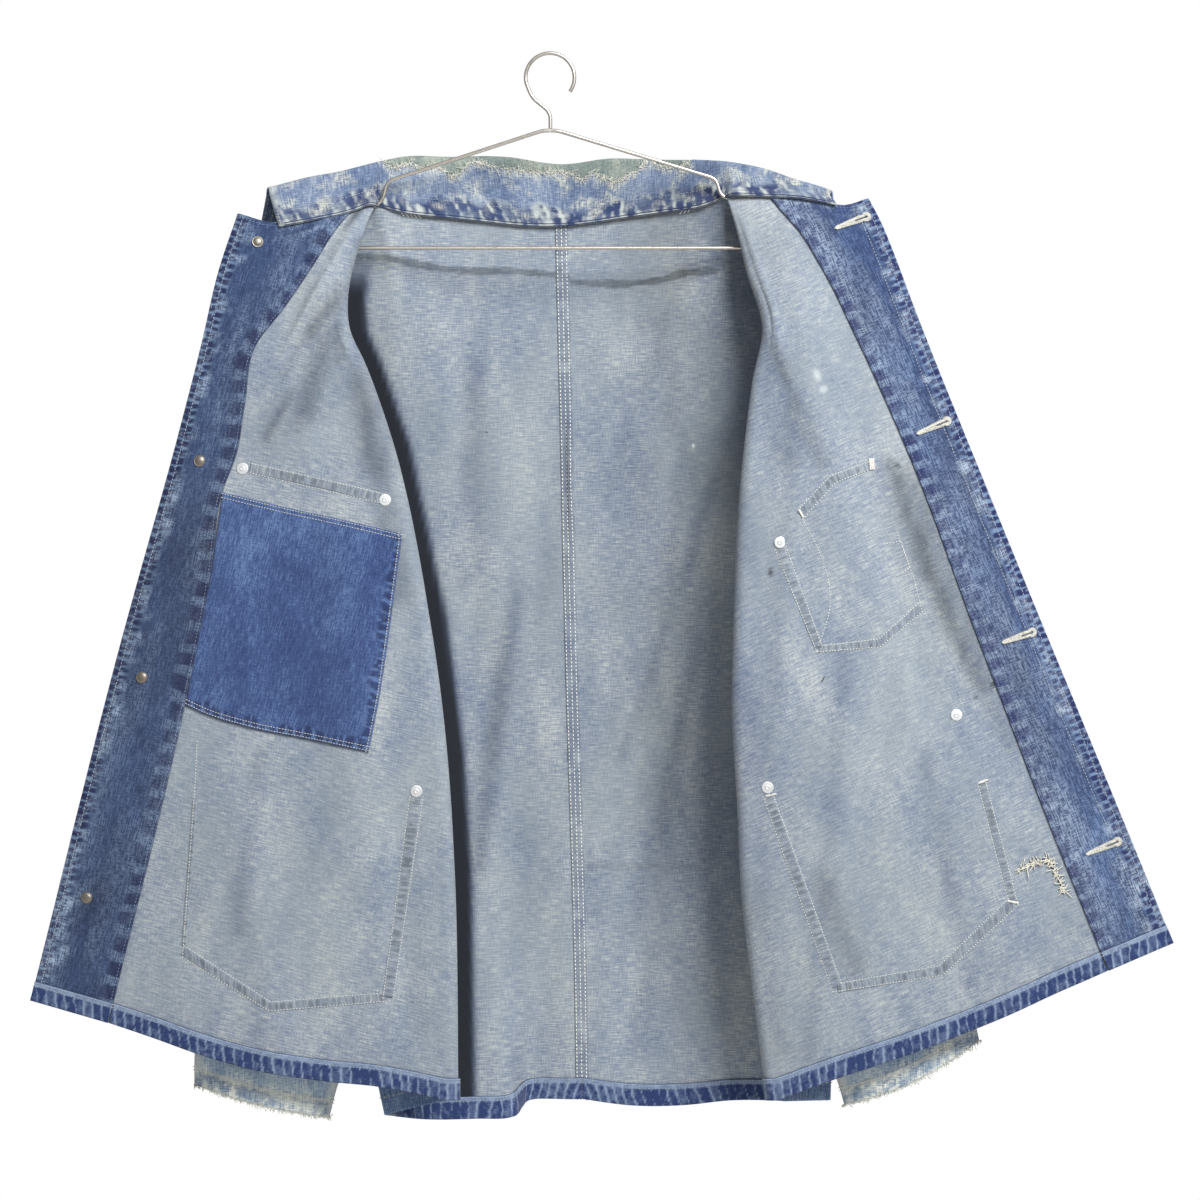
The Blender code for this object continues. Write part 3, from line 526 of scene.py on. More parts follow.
def along_edge(grid, column):
    """How far each point lies along one of the grid's columns, in mm, measured square to it."""
    line = grid[:, [column]]
    tangent = np.gradient(line, axis=0)
    tangent /= np.linalg.norm(tangent, axis=2, keepdims=True)
    return run_down(line) + ((grid - line) * tangent).sum(-1)


def band(distance, width, soft=3.0):
    """1 inside a band beside an edge, falling off softly past its width."""
    return 1 - soft_step((np.asarray(distance) - width) / soft)

# %% [markdown]
# ## Shells
# Cloth is modelled as a thin closed shell with two faces: slot 0 is the face that shows inside the garment, and
# slot 1 the outer face with the cut edges. Its points also keep what the material needs to know: how far the cloth
# puckers there, how much of the pucker's colour shows, how worn it is, and how stained or darkened by painted shade.

# %% A function that makes a shell from a grid


def make_piece(name, points, faces, slots, materials, uv=None, marks=None, flat=None):
    """A mesh object from points in mm. Faces are smooth except those listed as flat."""
    mesh = bpy.data.meshes.new(name)
    mesh.from_pydata((np.asarray(points) * 0.001).tolist(), [], faces)
    for material in materials:
        mesh.materials.append(material)
    mesh.polygons.foreach_set("material_index", np.asarray(slots, np.int32))
    mesh.polygons.foreach_set("use_smooth", np.ones(len(faces), bool) if flat is None else ~np.asarray(flat))
    if uv is not None:
        corner = np.empty(len(mesh.loops), np.int32)
        mesh.loops.foreach_get("vertex_index", corner)
        mesh.uv_layers.new(name="cloth").data.foreach_set("uv", np.asarray(uv, np.float32)[corner].ravel())
    for key, values in (marks or {}).items():
        mesh.attributes.new(key, "FLOAT", "POINT").data.foreach_set("value", np.asarray(values, np.float32).ravel())
    made = bpy.data.objects.new(name, mesh)
    scene.collection.objects.link(made)
    return made


def shell(name, grid, away, low, high, materials, uv, marks=None):
    """A closed shell between two distances from a grid of middle points. Its face at the high one has slot 0."""
    rows, columns = grid.shape[:2]
    count = rows * columns
    low, high = (np.broadcast_to(np.asarray(d, float), (rows, columns))[..., None] for d in (low, high))
    points = np.concatenate([(grid + away * high).reshape(-1, 3), (grid + away * low).reshape(-1, 3)])
    index = np.arange(count).reshape(rows, columns)
    quads = np.stack([index[:-1, :-1], index[:-1, 1:], index[1:, 1:], index[1:, :-1]], -1).reshape(-1, 4)
    a, b, d = grid[rows // 2, columns // 3], grid[rows // 2, columns // 3 + 1], grid[rows // 2 + 1, columns // 3]
    if np.cross(b - a, d - a).dot(away[rows // 2, columns // 3]) < 0:
        quads = quads[:, ::-1]
    ring = np.concatenate([index[0, :-1], index[:-1, -1], index[-1, :0:-1], index[:0:-1, 0]])
    after = np.roll(ring, -1)
    rim = np.stack([ring, ring + count, after + count, after], -1)
    first, second = quads[0][0], quads[0][1]
    if not ((ring == first) & (after == second)).any():
        rim = rim[:, ::-1]
    faces = np.concatenate([quads, quads[:, ::-1] + count, rim])
    slots = np.concatenate([np.zeros(len(quads)), np.ones(len(quads) + len(rim))])
    flat = np.concatenate([np.zeros(2 * len(quads), bool), np.ones(len(rim), bool)])
    both = {key: np.concatenate([np.broadcast_to(v, (rows, columns)).ravel()] * 2) for key, v in (marks or {}).items()}
    made = make_piece(name, points, faces.tolist(), slots, materials, np.concatenate([uv.reshape(-1, 2)] * 2), both, flat)
    made["flat_size"] = np.maximum(uv.reshape(-1, 2).max(0) - uv.reshape(-1, 2).min(0), 0.0101).tolist()
    steps = np.cross(grid[:-1, 1:] - grid[:-1, :-1], grid[1:, :-1] - grid[:-1, :-1])
    made["flat_area"] = float(np.linalg.norm(steps, axis=2).sum() * 1e-6)
    return made

# %% [markdown]
# ## Denim
# Denim is a twill of blue warp threads over white weft. Its outside shows the warp, and its inside mostly the pale
# weft, with blue streaks where the warp comes through. Washing takes the blue off every ridge, so a puckered seam is
# a row of dark troughs and pale bumps. The threads are 0.4 mm apart, too fine for this picture, so the hatch is
# drawn about three times as coarse. Cotton is matt: roughness near 0.9, with a little sheen from its fibres.

# %% The denim materials


def denim(name, colours, hatch, streak, mottle, pucker_colours, stain_colour, worn="#b9c3cc", tinge=0.0, flecks=(), bump=0.3, sheen=0.12):
    """Worn denim. Three colours run from dark to pale, and hatch, streak and mottle say how far each pattern moves."""
    made, tree, shader = new_material(name)
    place = add(tree, "ShaderNodeUVMap", uv_map="cloth").outputs["UV"]

    def pattern(scale_u, scale_v, detail, offset):
        moved = add(tree, "ShaderNodeMapping", {"Vector": place, "Scale": (scale_u, scale_v, 1), "Location": (offset, offset, 0)})
        return add(tree, "ShaderNodeTexNoise", {"Vector": moved.outputs["Vector"], "Scale": 1.0, "Detail": detail},
                   noise_dimensions="2D").outputs["Fac"]

    def total(*parts):
        value = 0.5
        for strength, source in parts:
            value = add(tree, "ShaderNodeMath", {0: source, 1: strength, 2: value}, operation="MULTIPLY_ADD").outputs[0]
        return value

    inside, outward = name.endswith("reverse"), name.endswith("outside")
    fine = pattern(100 if inside else 200, 1050, 1.5, 3.1)
    long = pattern(1000, 150 if inside else 110, 1.5, 9.7)
    cloud = pattern(70, 34, 3.0, 1.7)
    broad = pattern(22, 9, 3.0, 5.3)
    weave = total((hatch, fine), (streak, long), (0.4 * mottle, cloud), (0.85 * mottle, broad))
    centred = add(tree, "ShaderNodeMath", {0: weave, 1: (hatch + streak + 1.25 * mottle) / 2}, operation="SUBTRACT").outputs[0]
    ramp = add(tree, "ShaderNodeValToRGB", {"Fac": centred})
    for stop, (where, code) in zip((ramp.color_ramp.elements[0], ramp.color_ramp.elements[1]), ((0.2, colours[0]), (0.8, colours[2]))):
        stop.position, stop.color = where, linear(code)
    ramp.color_ramp.elements.new(0.5).color = linear(colours[1])

    rope = add(tree, "ShaderNodeAttribute", attribute_name="rope").outputs["Fac"]
    edge = add(tree, "ShaderNodeAttribute", attribute_name="edge").outputs["Fac"]
    if outward:
        edge = add(tree, "ShaderNodeMath", {0: edge, 1: 0.3}, operation="MULTIPLY").outputs[0]
    wear = add(tree, "ShaderNodeAttribute", attribute_name="wear").outputs["Fac"]
    stain = add(tree, "ShaderNodeAttribute", attribute_name="stain").outputs["Fac"]
    lifted = add(tree, "ShaderNodeMath", {0: rope, 1: 0.5, 2: 0.38}, operation="MULTIPLY_ADD").outputs[0]
    broken = add(tree, "ShaderNodeMath", {0: fine, 1: 0.24, 2: lifted}, operation="MULTIPLY_ADD").outputs[0]
    pucker = add(tree, "ShaderNodeValToRGB", {"Fac": broken})
    pucker.color_ramp.elements[0].position, pucker.color_ramp.elements[0].color = 0.28, linear(pucker_colours[0])
    pucker.color_ramp.elements[1].position, pucker.color_ramp.elements[1].color = 0.82, linear(pucker_colours[1])
    tinged = add(tree, "ShaderNodeMapRange", {"Value": pattern(13, 10, 3.0, 7.7), "From Min": 0.4, "From Max": 0.65, "To Max": tinge})
    hued = add(tree, "ShaderNodeMix", {"Factor": tinged.outputs["Result"], 6: ramp.outputs["Color"], 7: linear("#868f92")}, data_type="RGBA")
    base = add(tree, "ShaderNodeMix", {"Factor": edge, 6: hued.outputs[2], 7: pucker.outputs["Color"]}, data_type="RGBA")
    ridges = add(tree, "ShaderNodeMath", {0: fine, 1: long}, operation="ADD").outputs[0]
    bare = add(tree, "ShaderNodeMapRange", {"Value": ridges, "From Min": 0.85, "From Max": 1.15, "To Min": 0.25, "To Max": 1.6}).outputs["Result"]
    rubbed = add(tree, "ShaderNodeMath", {0: wear, 1: bare}, operation="MULTIPLY", use_clamp=True).outputs[0]
    faded = add(tree, "ShaderNodeMix", {"Factor": rubbed, 6: base.outputs[2], 7: linear(worn)}, data_type="RGBA")
    # Stains and painted shade are kept off the outside face.
    if outward:
        stain = add(tree, "ShaderNodeMath", {0: stain, 1: 0.0}, operation="MULTIPLY").outputs[0]
    spotted = add(tree, "ShaderNodeMix", {"Factor": stain, 6: faded.outputs[2], 7: linear(stain_colour)}, data_type="RGBA")
    where = add(tree, "ShaderNodeTexCoord").outputs["Object"]
    for x, z, wide, high, lean, strength, code in flecks:
        about = add(tree, "ShaderNodeMapping", {"Vector": where, "Location": (x / 1000, 0, z / 1000), "Rotation": (0, math.radians(lean), 0),
                                                "Scale": (wide / 2000, 1000, high / 2000)}, vector_type="TEXTURE")
        apart = add(tree, "ShaderNodeVectorMath", {0: about.outputs["Vector"]}, operation="LENGTH").outputs["Value"]
        uneven = add(tree, "ShaderNodeMath", {0: fine, 1: 1.2, 2: apart}, operation="MULTIPLY_ADD").outputs[0]
        covered = add(tree, "ShaderNodeMapRange", {"Value": uneven, "From Min": 1.1, "From Max": 1.9, "To Min": strength, "To Max": 0.0})
        spotted = add(tree, "ShaderNodeMix", {"Factor": covered.outputs["Result"], 6: spotted.outputs[2], 7: linear(code)}, data_type="RGBA")
    tree.links.new(spotted.outputs[2], shader.inputs["Base Color"])
    raised = add(tree, "ShaderNodeBump", {"Height": centred, "Strength": bump, "Distance": 0.0006})
    tree.links.new(raised.outputs["Normal"], shader.inputs["Normal"])
    shader.inputs["Roughness"].default_value = 0.9
    shader.inputs["Specular IOR Level"].default_value = 0.2
    shader.inputs["Sheen Weight"].default_value = sheen
    shader.inputs["Sheen Roughness"].default_value = 0.6
    return made


FLECKS = [(174, -414, 4.5, 6.5, 20, 0.75, "#22262c"), (275, -330, 6, 4, 30, 0.5, "#22262c"), (349.5, -503, 5, 7, 0, 0.6, "#22262c"),
          (336, -513, 4, 3.5, 0, 0.4, "#22262c"), (215, -498, 1.8, 6, 30, 0.75, "#22262c"), (115.7, -311, 3, 3.6, 0, 0.6, "#c9ced0"),
          (211, -259, 6, 10, -20, 0.4, "#c5cdca"), (216, -270, 7, 6, -25, 0.38, "#c5cdca"), (-52, -300, 2.2, 2.2, 0, 0.5, "#2a2f36"),
          (-214, -420, 2.2, 3, 15, 0.5, "#2a2f36"), (62, -500, 2, 2.6, 0, 0.5, "#2a2f36")]
# The reverse's near-black darkening colour mostly lays painted shade: in the gap behind each fold, along folds, and the
# hanger bar's shadow line.
REVERSE = denim("worn denim, reverse", ("#56647b", "#7c8591", "#a9adab"), 0.6, 0.36, 0.46,
                ("#2c3957", "#929ba3"), "#14181c", tinge=0.34, flecks=FLECKS)
# The right front's facing uses a darker copy of the facing denim: painted shade, as that front is turned from the lamp.
FACING_DENIM = {
    "right": denim("worn denim, facing, in painted shade", ("#17233c", "#2a3a5b", "#4a5c7b"), 0.35, 0.6, 0.6, ("#141d40", "#566a85"), "#141824", "#94a6bb"),
    "left": denim("worn denim, facing", ("#1a2642", "#2c3c60", "#50668a"), 0.35, 0.6, 0.6, ("#19234e", "#5f7492"), "#1c2233", "#a6b4c2"),
}
HEM_DENIM = denim("worn denim, puckered hem", ("#27375a", "#3f5071", "#6d7d94"), 0.6, 0.5, 0.8,
                  ("#1c2d58", "#7b8ba3"), "#1c2233")
CUFF_DENIM = denim("faded denim, sleeves", ("#5c7393", "#93a7ba", "#c8d0d2"), 0.5, 0.55, 0.9,
                   ("#3d4e6a", "#cfcfbd"), "#2a2c22", "#d8dacf")
PATCH_DENIM = denim("dark denim patch", ("#1b2a50", "#33456f", "#587096"), 0.35, 0.55, 0.5,
                    ("#1a274c", "#4c628a"), "#1c2233", "#8296b4")
OUTSIDE = denim("worn denim, outside", ("#33466c", "#566b8e", "#8194ab"), 0.5, 0.8, 0.6,
                ("#22315a", "#929ea9"), "#2a2c22")
UNDER_COLLAR = denim("grey-green under collar", ("#525f60", "#6c7773", "#8f948a"), 0.6, 0.6, 0.9,
                     ("#2a3a66", "#a9ab98"), "#55605a", "#b9b79d")
COLLAR_DENIM = denim("bleached denim collar", ("#3b4b69", "#64728a", "#959da5"), 0.5, 0.5, 0.8,
                     ("#1f2e54", "#a3a9a6"), "#39424e", "#bebeac")
print("nine kinds of denim")

# %% [markdown]
# ## The fronts and the back
# The two fronts and the two halves of the back are the shells that carry everything else. Their inner faces show
# the reverse of the denim, and their outer faces the worn outside.

# %% Where the panels are marked, and where shade is painted on them
HALF = CLOTH / 2
garment, layers, panel_grids = {}, {}, {}
# Painted shadow: the places of a thin dark line across the back where the hanger bar's shadow falls.
BAR_SHADOW_LINE = [(-153.6, -160), (-130.4, -161.6), (-107.2, -167.2), (-91.2, -170.4), (-68, -172.8), (-33.6, -172.8),
            (6.4, -176), (16.8, -181.6), (40.8, -183.2), (62.4, -183.2), (89.6, -180), (106.4, -174.4), (132, -172.8)]
# Darker blue lines along soft folds: partly indigo kept in creases, partly painted shade, such as the wide band beside
# each front's fold.
DOOR_INDIGO_AND_SHADE_LINES = {"right": [((-152, -230), (-122, -430), 13), ((-150, -170), (-206, -300), 6), ((-146, -220), (-120, -420), 5),
                        ((-232, -560), (-250, -700), 7), ((-206, -270), (-228, -306), 4), ((-196, -262), (-210, -300), 3)],
              "left": [((160, -370), (158, -660), 30), ((170, -221), (195, -305), 4), ((238, -470), (206, -800), 8),
                       ((300, -560), (336, -740), 7)]}
# Painted shade on the fronts: grey along soft folds, near the neck and beside the folds, where shade falls.
DOOR_SHADES = {"right": [((-149, -120), (-165, -140), 2.6, 0.6), ((-165, -140), (-176, -160), 4, 0.3), ((-153, -150), (-164, -192), 4.5, 0.4),
                         ((-166, -188), (-190, -222), 8, 0.5), ((-172, -218), (-171, -244), 6, 0.42), ((-177, -222), (-191, -284), 11, 0.42),
                         ((-184, -196), (-212, -256), 5, 0.2), ((-206, -270), (-226, -306), 5, 0.26), ((-152, -262), (-138, -330), 14, 0.34),
                         ((-140, -330), (-122, -430), 12, 0.16)],
               "left": [((292, -340), (340, -470), 16, 0.36), ((272, -328), (279, -340), 7, 0.4), ((279, -340), (286, -364), 8.5, 0.54), ((286, -364), (304, -412), 10, 0.62),
                        ((304, -412), (324, -460), 10, 0.6), ((324, -460), (346, -502), 10, 0.54), ((346, -502), (368, -552), 8, 0.2),
                        ((167, -213), (200, -283), 5, 0.4), ((200, -283), (217, -326), 8, 0.24), ((181, -247), (190, -320), 14, 0.28),
                        ((150, -140), (166, -200), 14, 0.24), ((221, -663), (242, -727), 13, 0.28), ((162, -676), (184, -798), 11, 0.18), ((134, -196), (146, -290), 6, 0.2)]}
# Darker blue lines along the back's folds: partly indigo kept in creases, partly painted shade.
BACK_INDIGO_AND_SHADE_LINES = [((-24, -425), (-56, -650), 7), ((150, -290), (58, -560), 6), ((118, -470), (66, -700), 7),
              ((-60, -250), (-70, -420), 9)]
# Painted shade on the back: a low crease, the shade beside the left front's fold and a broad darker area in the back's
# left half.
BACK_SHADES = [((28, -648), (118, -650), 3.5, 0.2), ((96, -150), (112, -330), 40, 0.24), ((90, -330), (96, -600), 40, 0.2),
               ((142, -130), (165, -300), 20, 0.3), ((-112, -112), (-70, -122), 12, 0.12)]


def nearest(grid, line):
    """The distance in mm of each point from a line of places, as both are seen."""
    x, z = grid[..., 0], grid[..., 2]
    share = (grid[..., 1] - EYE[1]) / -EYE[1]
    x, z = EYE[0] + (x - EYE[0]) / share, EYE[2] + (z - EYE[2]) / share
    best = np.full(x.shape, 1e9)
    for (ax, az), (bx, bz) in zip(line, line[1:]):
        along = np.clip(((x - ax) * (bx - ax) + (z - az) * (bz - az)) / ((bx - ax) ** 2 + (bz - az) ** 2), 0, 1)
        best = np.minimum(best, np.hypot(x - ax - along * (bx - ax), z - az - along * (bz - az)))
    return best


def indigo_and_shade_lines(grid, lines):
    """Darker blue along soft folds: partly indigo kept in creases, partly painted shade of the folds."""
    depth = np.zeros(grid.shape[:2])
    for head, foot, width in lines:
        depth = np.maximum(depth, 0.34 * np.exp(-(nearest(grid, [head, foot]) / width) ** 2))
    return depth * (0.8 + 0.4 * noise(grid[..., 0] / 12, grid[..., 2] / 25, 7))


def shaded(grid, lines):
    """Painted shade where soft folds lose light: a share of grey along lines between two places."""
    depth = np.zeros(grid.shape[:2])
    for head, foot, width, most in lines:
        depth = np.maximum(depth, most * np.exp(-(nearest(grid, [head, foot]) / width) ** 2))
    return depth * (0.85 + 0.3 * noise(grid[..., 0] / 9, grid[..., 2] / 16, 12))


def shade_behind_folds(grid):
    """Painted shade of the deep gap where the back's cloth runs away behind a front's fold: 1 behind the fold, 0 in the
    open.
    """
    x = EYE[0] + (grid[..., 0] - EYE[0]) / ((grid[..., 1] - EYE[1]) / -EYE[1])
    z = EYE[2] + (grid[..., 2] - EYE[2]) / ((grid[..., 1] - EYE[1]) / -EYE[1])
    dark = np.zeros(x.shape)
    for front, reach, soft, most, low in ((RIGHT_FRONT, 9, 11, 1.0, 2000), (LEFT_FRONT, -2, 40, 0.4, 310)):
        fold = np.array(front["fold"])[:, (0, 2)]
        line = np.interp(-z, -fold[:, 1], fold[:, 0])
        inside = (x - line) * front["inward"]
        dark = np.maximum(dark, most * (1 - soft_step((inside - reach) / soft)) * soft_step((-150 - z) / 50)
                          * (1 - soft_step((-z - low) / 90)) * (0.25 + 0.75 * soft_step((inside + 22) / 18)))
    return dark


def layer(name, grid, away, low, high, materials, uv, **marks):
    """A shell that is kept with its grid, so that stitches find their way over it."""
    shape = grid.shape[:2]
    full = {key: np.broadcast_to(marks.get(key, 0.0), shape) for key in ("rope", "edge", "wear", "stain")}
    garment[name] = shell(f"{name}_cloth", grid, away, low, high, materials, uv, full)
    layers[name] = (grid, away, np.broadcast_to(high, shape), np.broadcast_to(low, shape))


# %% Shells of the four panels
for side in ("right", "left"):
    strips = dict(facing=FACING_SHARES, door=DOOR_SHARES, arc=FOLD_ANGLES, behind=BEHIND_SHARES)
    grid, away = front_surface(side, HEIGHTS, **strips)
    turn = len(FACING_SHARES) + len(DOOR_SHARES)
    layer(f"front_{side}", grid, away, -HALF, HALF, [REVERSE, OUTSIDE], flat_map(grid, TILT[side], 0, turned_from=turn),
          rope=-0.35, edge=indigo_and_shade_lines(grid, DOOR_INDIGO_AND_SHADE_LINES[side]), stain=shaded(grid, DOOR_SHADES[side]))
    panel_grids[side] = (grid[:, :turn], away[:, :turn])
    grid, away = back_surface(side, HEIGHTS, BACK_SHARES)
    # The back gets the painted shadow of the hanger bar, painted shade in the deep gap behind each front's fold, and
    # painted shade along its folds.
    wander = 1.2 * noise(grid[..., 0] / 6, 0.5 + 0 * grid[..., 0], 9)
    shadow = band(nearest(grid, BAR_SHADOW_LINE) + wander, 2.2, 1.3) * (0.85 + 0.15 * noise(grid[..., 0] / 14, grid[..., 2] / 9, 8))
    gap_shade = shade_behind_folds(grid)
    layer(f"back_{side}", grid, away, -HALF, HALF, [REVERSE, OUTSIDE], flat_map(grid, 0, 0), rope=-0.35 - gap_shade,
          edge=np.maximum(indigo_and_shade_lines(grid, BACK_INDIGO_AND_SHADE_LINES), gap_shade), stain=np.clip(0.52 * shadow + shaded(grid, BACK_SHADES) + np.clip(1.8 * gap_shade - 0.7, 0, 0.94), 0, 0.95))
for name, piece in garment.items():
    print(name, [round(c, 3) for c in piece["flat_size"]], "m,", round(piece["flat_area"], 3), "m2")

# %% [markdown]
# ## Facings and hems
# The facings are dark strips sewn inside each front edge, and the hem is turned up once. Both have shrunk less than
# the cloth under them, so they pucker along their stitches: each stitch line is a row of ridges and troughs.

# %% Facings with puckered edges
FACING_HEIGHTS = np.linspace(0, 1, 480)
FACING_COLUMNS = np.array([0, 0.012, 0.025, 0.04, 0.055, 0.075, 0.1, 0.13, 0.17, 0.24, 0.34, 0.45, 0.56, 0.67, 0.76, 0.82,
                           0.87, 0.91, 0.94, 0.97, 0.985, 1.0])
ON_PANEL = HALF + GAP


for side in ("right", "left"):
    seed = 61 if side == "right" else 67
    grid, away = front_surface(side, FACING_HEIGHTS, facing=FACING_COLUMNS)
    down, across = run_down(grid), run_across(grid)
    from_seam, low_end = across[:, -1:] - across, down[-1:] - down
    front_run, seam_run = along_edge(grid, 0), along_edge(grid, -1)
    outer = np.where(across < 5.3, puckers(front_run, across + 0.6, seed, pitch=6.3, width=6.4, slant=0.0, fill=0.8),
                     puckers(front_run + 3.1, across - 5.0, seed + 20, pitch=6.3, width=6.6, slant=0.1, fill=0.78))
    phase = seam_run / (14.4 if side == "left" else 19) + 0.3 * noise(down / 40, 0 * down, seed + 3)
    inner = -0.6 * soft_step((0.32 + 0.5 * np.cos(2 * math.pi * phase)) / 0.3) + 0.1 * noise(down / 4, from_seam / 4, seed + 5)
    reach = (7.5 if side == "left" else 9) + 2.5 * noise(np.floor(phase + 0.5) + 0.5, 0 * down, seed + 4)
    rope = np.where(across < from_seam, np.clip(outer - 0.22, -1, 1), inner)
    dark = np.clip(-1.8 * inner, 0, 1) * (0.75 + 0.25 * noise(down / 21, 0 * down, seed + 8))
    edge = np.maximum(band(across, 9, 3), np.clip(1.2 * dark * band(from_seam, reach, 3), 0, 1))
    fade = fade_in(across, 1.5) * fade_in(from_seam, 1.5)
    lift = -0.28 * rope * np.maximum(band(across, 10), 0.35 * band(from_seam, 9)) * fade
    rub = band(np.abs(across - 10), 2, 5) * np.clip(0.1 + 0.9 * noise(down / 7, across / 5, seed + 6), 0, 1)
    rub = np.maximum(rub, 0.6 * band(across, 8, 3) * np.clip(1.6 * noise(down / 2.2, across / 1.6, seed + 13) - 0.35, 0, 1))
    streaks = 0.14 * np.clip(noise(across / 9, down / 60, 5) + 0.4 * noise(across / 3, down / 25, 6), 0, 1)
    neck_rub = 0.3 * band(down, 8, 25) * np.clip(noise(down / 6, across / 6, seed + 7), 0, 1)
    beside = (0.17 if side == "left" else 0.14) * band(from_seam, 10, 5) * (1 - dark)
    glow = (0.2 if side == "left" else 0.05) * np.exp(-((from_seam - 20 - 6 * noise(down / 90, 0 * down, 31)) / 13) ** 2)
    foot_rub = 0.3 * band(low_end, 60, 90) * band(across, 14, 14) * np.clip(0.3 + noise(down / 8, across / 8, seed + 9), 0, 1)
    # The right facing's colour is darkened most about 300 mm down from its top.
    layer(f"facing_{side}", grid, away, ON_PANEL, ON_PANEL + FACING_CLOTH + lift, [FACING_DENIM[side], REVERSE],
          flat_map(grid, TILT[side], 0), rope=rope, edge=edge, wear=np.clip(0.5 * rub + streaks + beside + neck_rub + glow * (0.7 + 0.3 * noise(down / 20, across / 8, 32)) + foot_rub, 0, 0.75),
          stain=0.22 * np.exp(-((down - 300) / 120) ** 2) if side == "right" else 0.0)

# %% Hems turned up inside


def turned_edge(across, low_end, seed):
    """The lozenges of a hem, under a paler strip where its stitches hold it flat."""
    rope = 0.66 * puckers(across, low_end + 8.5, seed, pitch=7.7, width=30, slant=0.3, fill=0.92)
    held = band(low_end[:1] - low_end, 2.8, 1.6)
    return rope * (1 - held) + held * (0.45 + 0.3 * noise(across / 3, low_end / 2, seed + 1))


HEM_HEIGHTS = np.linspace(HEM_START, 1, 15)
for side in ("right", "left"):
    grid, away = front_surface(side, HEM_HEIGHTS, facing=np.linspace(0, 1, 70))
    across, low_end = run_across(grid), run_down(grid)[-1:] - run_down(grid)
    rope = turned_edge(across, low_end, 79)
    lift = -0.4 * rope * fade_in(low_end, 2)
    layer(f"hem_facing_{side}", grid, away, ON_PANEL + FACING_CLOTH + 0.45, ON_PANEL + FACING_CLOTH + 1.6 + lift,
          [HEM_DENIM, REVERSE], flat_map(grid, TILT[side], 0), rope=rope, edge=0.95)
    grid, away = front_surface(side, HEM_HEIGHTS, door=np.linspace(0.002, 1, 210)[:-1], arc=np.linspace(0, 135, 14),
                               behind=np.linspace(0, 0.86, 40))
    across, low_end = run_across(grid), run_down(grid)[-1:] - run_down(grid)
    rope = turned_edge(across, low_end, 83)
    lift = -0.45 * rope * fade_in(low_end, 2)
    layer(f"hem_front_{side}", grid, away, ON_PANEL, ON_PANEL + 1.2 + lift, [HEM_DENIM, REVERSE],
          flat_map(grid, TILT[side], 0, turned_from=209), rope=rope, edge=0.95)
    grid, away = back_surface(side, HEM_HEIGHTS, np.linspace(0, 0.95, 150))
    across, low_end = run_across(grid), run_down(grid)[-1:] - run_down(grid)
    rope = turned_edge(across, low_end, 89)
    lift = -0.45 * rope * fade_in(low_end, 2) * fade_in(across, 6)
    layer(f"hem_back_{side}", grid, away, ON_PANEL, ON_PANEL + 1.2 + lift, [HEM_DENIM, REVERSE],
          flat_map(grid, 0, 0), rope=rope, edge=0.95)
print(len(garment), "pieces of cloth so far")

# %% [markdown]
# ## The sleeves
# Each sleeve hangs inside out of nothing: it is right side out behind its front, flat as it falls. Its two halves
# run from the armhole's edge through rings to the cuff, whose raw hem has frayed.

# %% Shells of the sleeves
SLEEVE_SHARES = np.linspace(0, 1, 26)
SLEEVE_RUN = np.linspace(0, 11, 130)


def sleeve_surface(side, rings, way):
    """The middle of one half of a sleeve, from its outer edge to its underarm."""
    heights = SLEEVE_SHARES * ARMHOLE_FOOT
    if way < 0:
        panel = front_grid(fronts[side], heights, behind=[0.97, 1])
    else:
        panel = back_grid(fronts[side], backs[side], heights, [0.97, 1])
    along = panel[:, 1] - panel[:, 0]
    rows = [panel[:, 1] + SLEEVE_GAP * along / np.linalg.norm(along, axis=1, keepdims=True)]
    swell = np.maximum(0, np.sin(np.pi * SLEEVE_SHARES))
    for outer, under, depth, half, sag in rings:
        x, z = ((1 - SLEEVE_SHARES) * outer[i] + SLEEVE_SHARES * under[i] for i in (0, 1))
        y = depth + way * (SIDE_SEAM_HALF + half * swell ** 0.6)
        rows.append(sight(np.stack([x, y, z - sag * swell], -1)))
    rows = np.array(rows)
    grid = smooth(range(len(rows)), rows.reshape(len(rows), -1))(SLEEVE_RUN).reshape(len(SLEEVE_RUN), -1, 3)
    away = directions(grid)
    fade = fade_in(SLEEVE_RUN, 1.5)[:, None] * (fade_in(SLEEVE_SHARES, 0.2) * fade_in(1 - SLEEVE_SHARES, 0.2))[None]
    return grid + away * (relief(grid, 41 + way, 1.3) * fade)[..., None], away


for side, rings in (("right", RIGHT_SLEEVE), ("left", LEFT_SLEEVE)):
    for half, way in (("front", -1), ("back", 1)):
        grid, away = sleeve_surface(side, rings, way)
        from_cuff = run_down(grid)[-1:] - run_down(grid)
        rope = puckers(run_across(grid), from_cuff, 97)
        rubbed = band(from_cuff, 13, 12) * np.clip(0.45 + 0.8 * noise(run_across(grid) / 6, from_cuff / 6, 99) + 0.5 * noise(run_across(grid) / 2.2, from_cuff / 2.2, 98), 0, 1)
        edges = band(np.minimum(run_across(grid), run_across(grid)[:, -1:] - run_across(grid)), 7)
        layer(f"sleeve_{half}_{side}", grid, away, -HALF, HALF, [CUFF_DENIM, REVERSE] if way < 0 else [REVERSE, CUFF_DENIM],
              flat_map(grid, 0, 0), rope=rope, edge=np.maximum(0.45 * band(from_cuff, 13), 0.4 * edges),
              wear=0.62 * rubbed,
              stain=0.3 * np.clip(noise(run_across(grid) / 14, from_cuff / 5, 96) - 0.25, 0, 1) * band(from_cuff, 70, 30))

# %% [markdown]
# ## The collar
# The collar stands up from the neck seam, rolls over its worn crest and falls behind. Only the inside of its stand
# shows from the front.

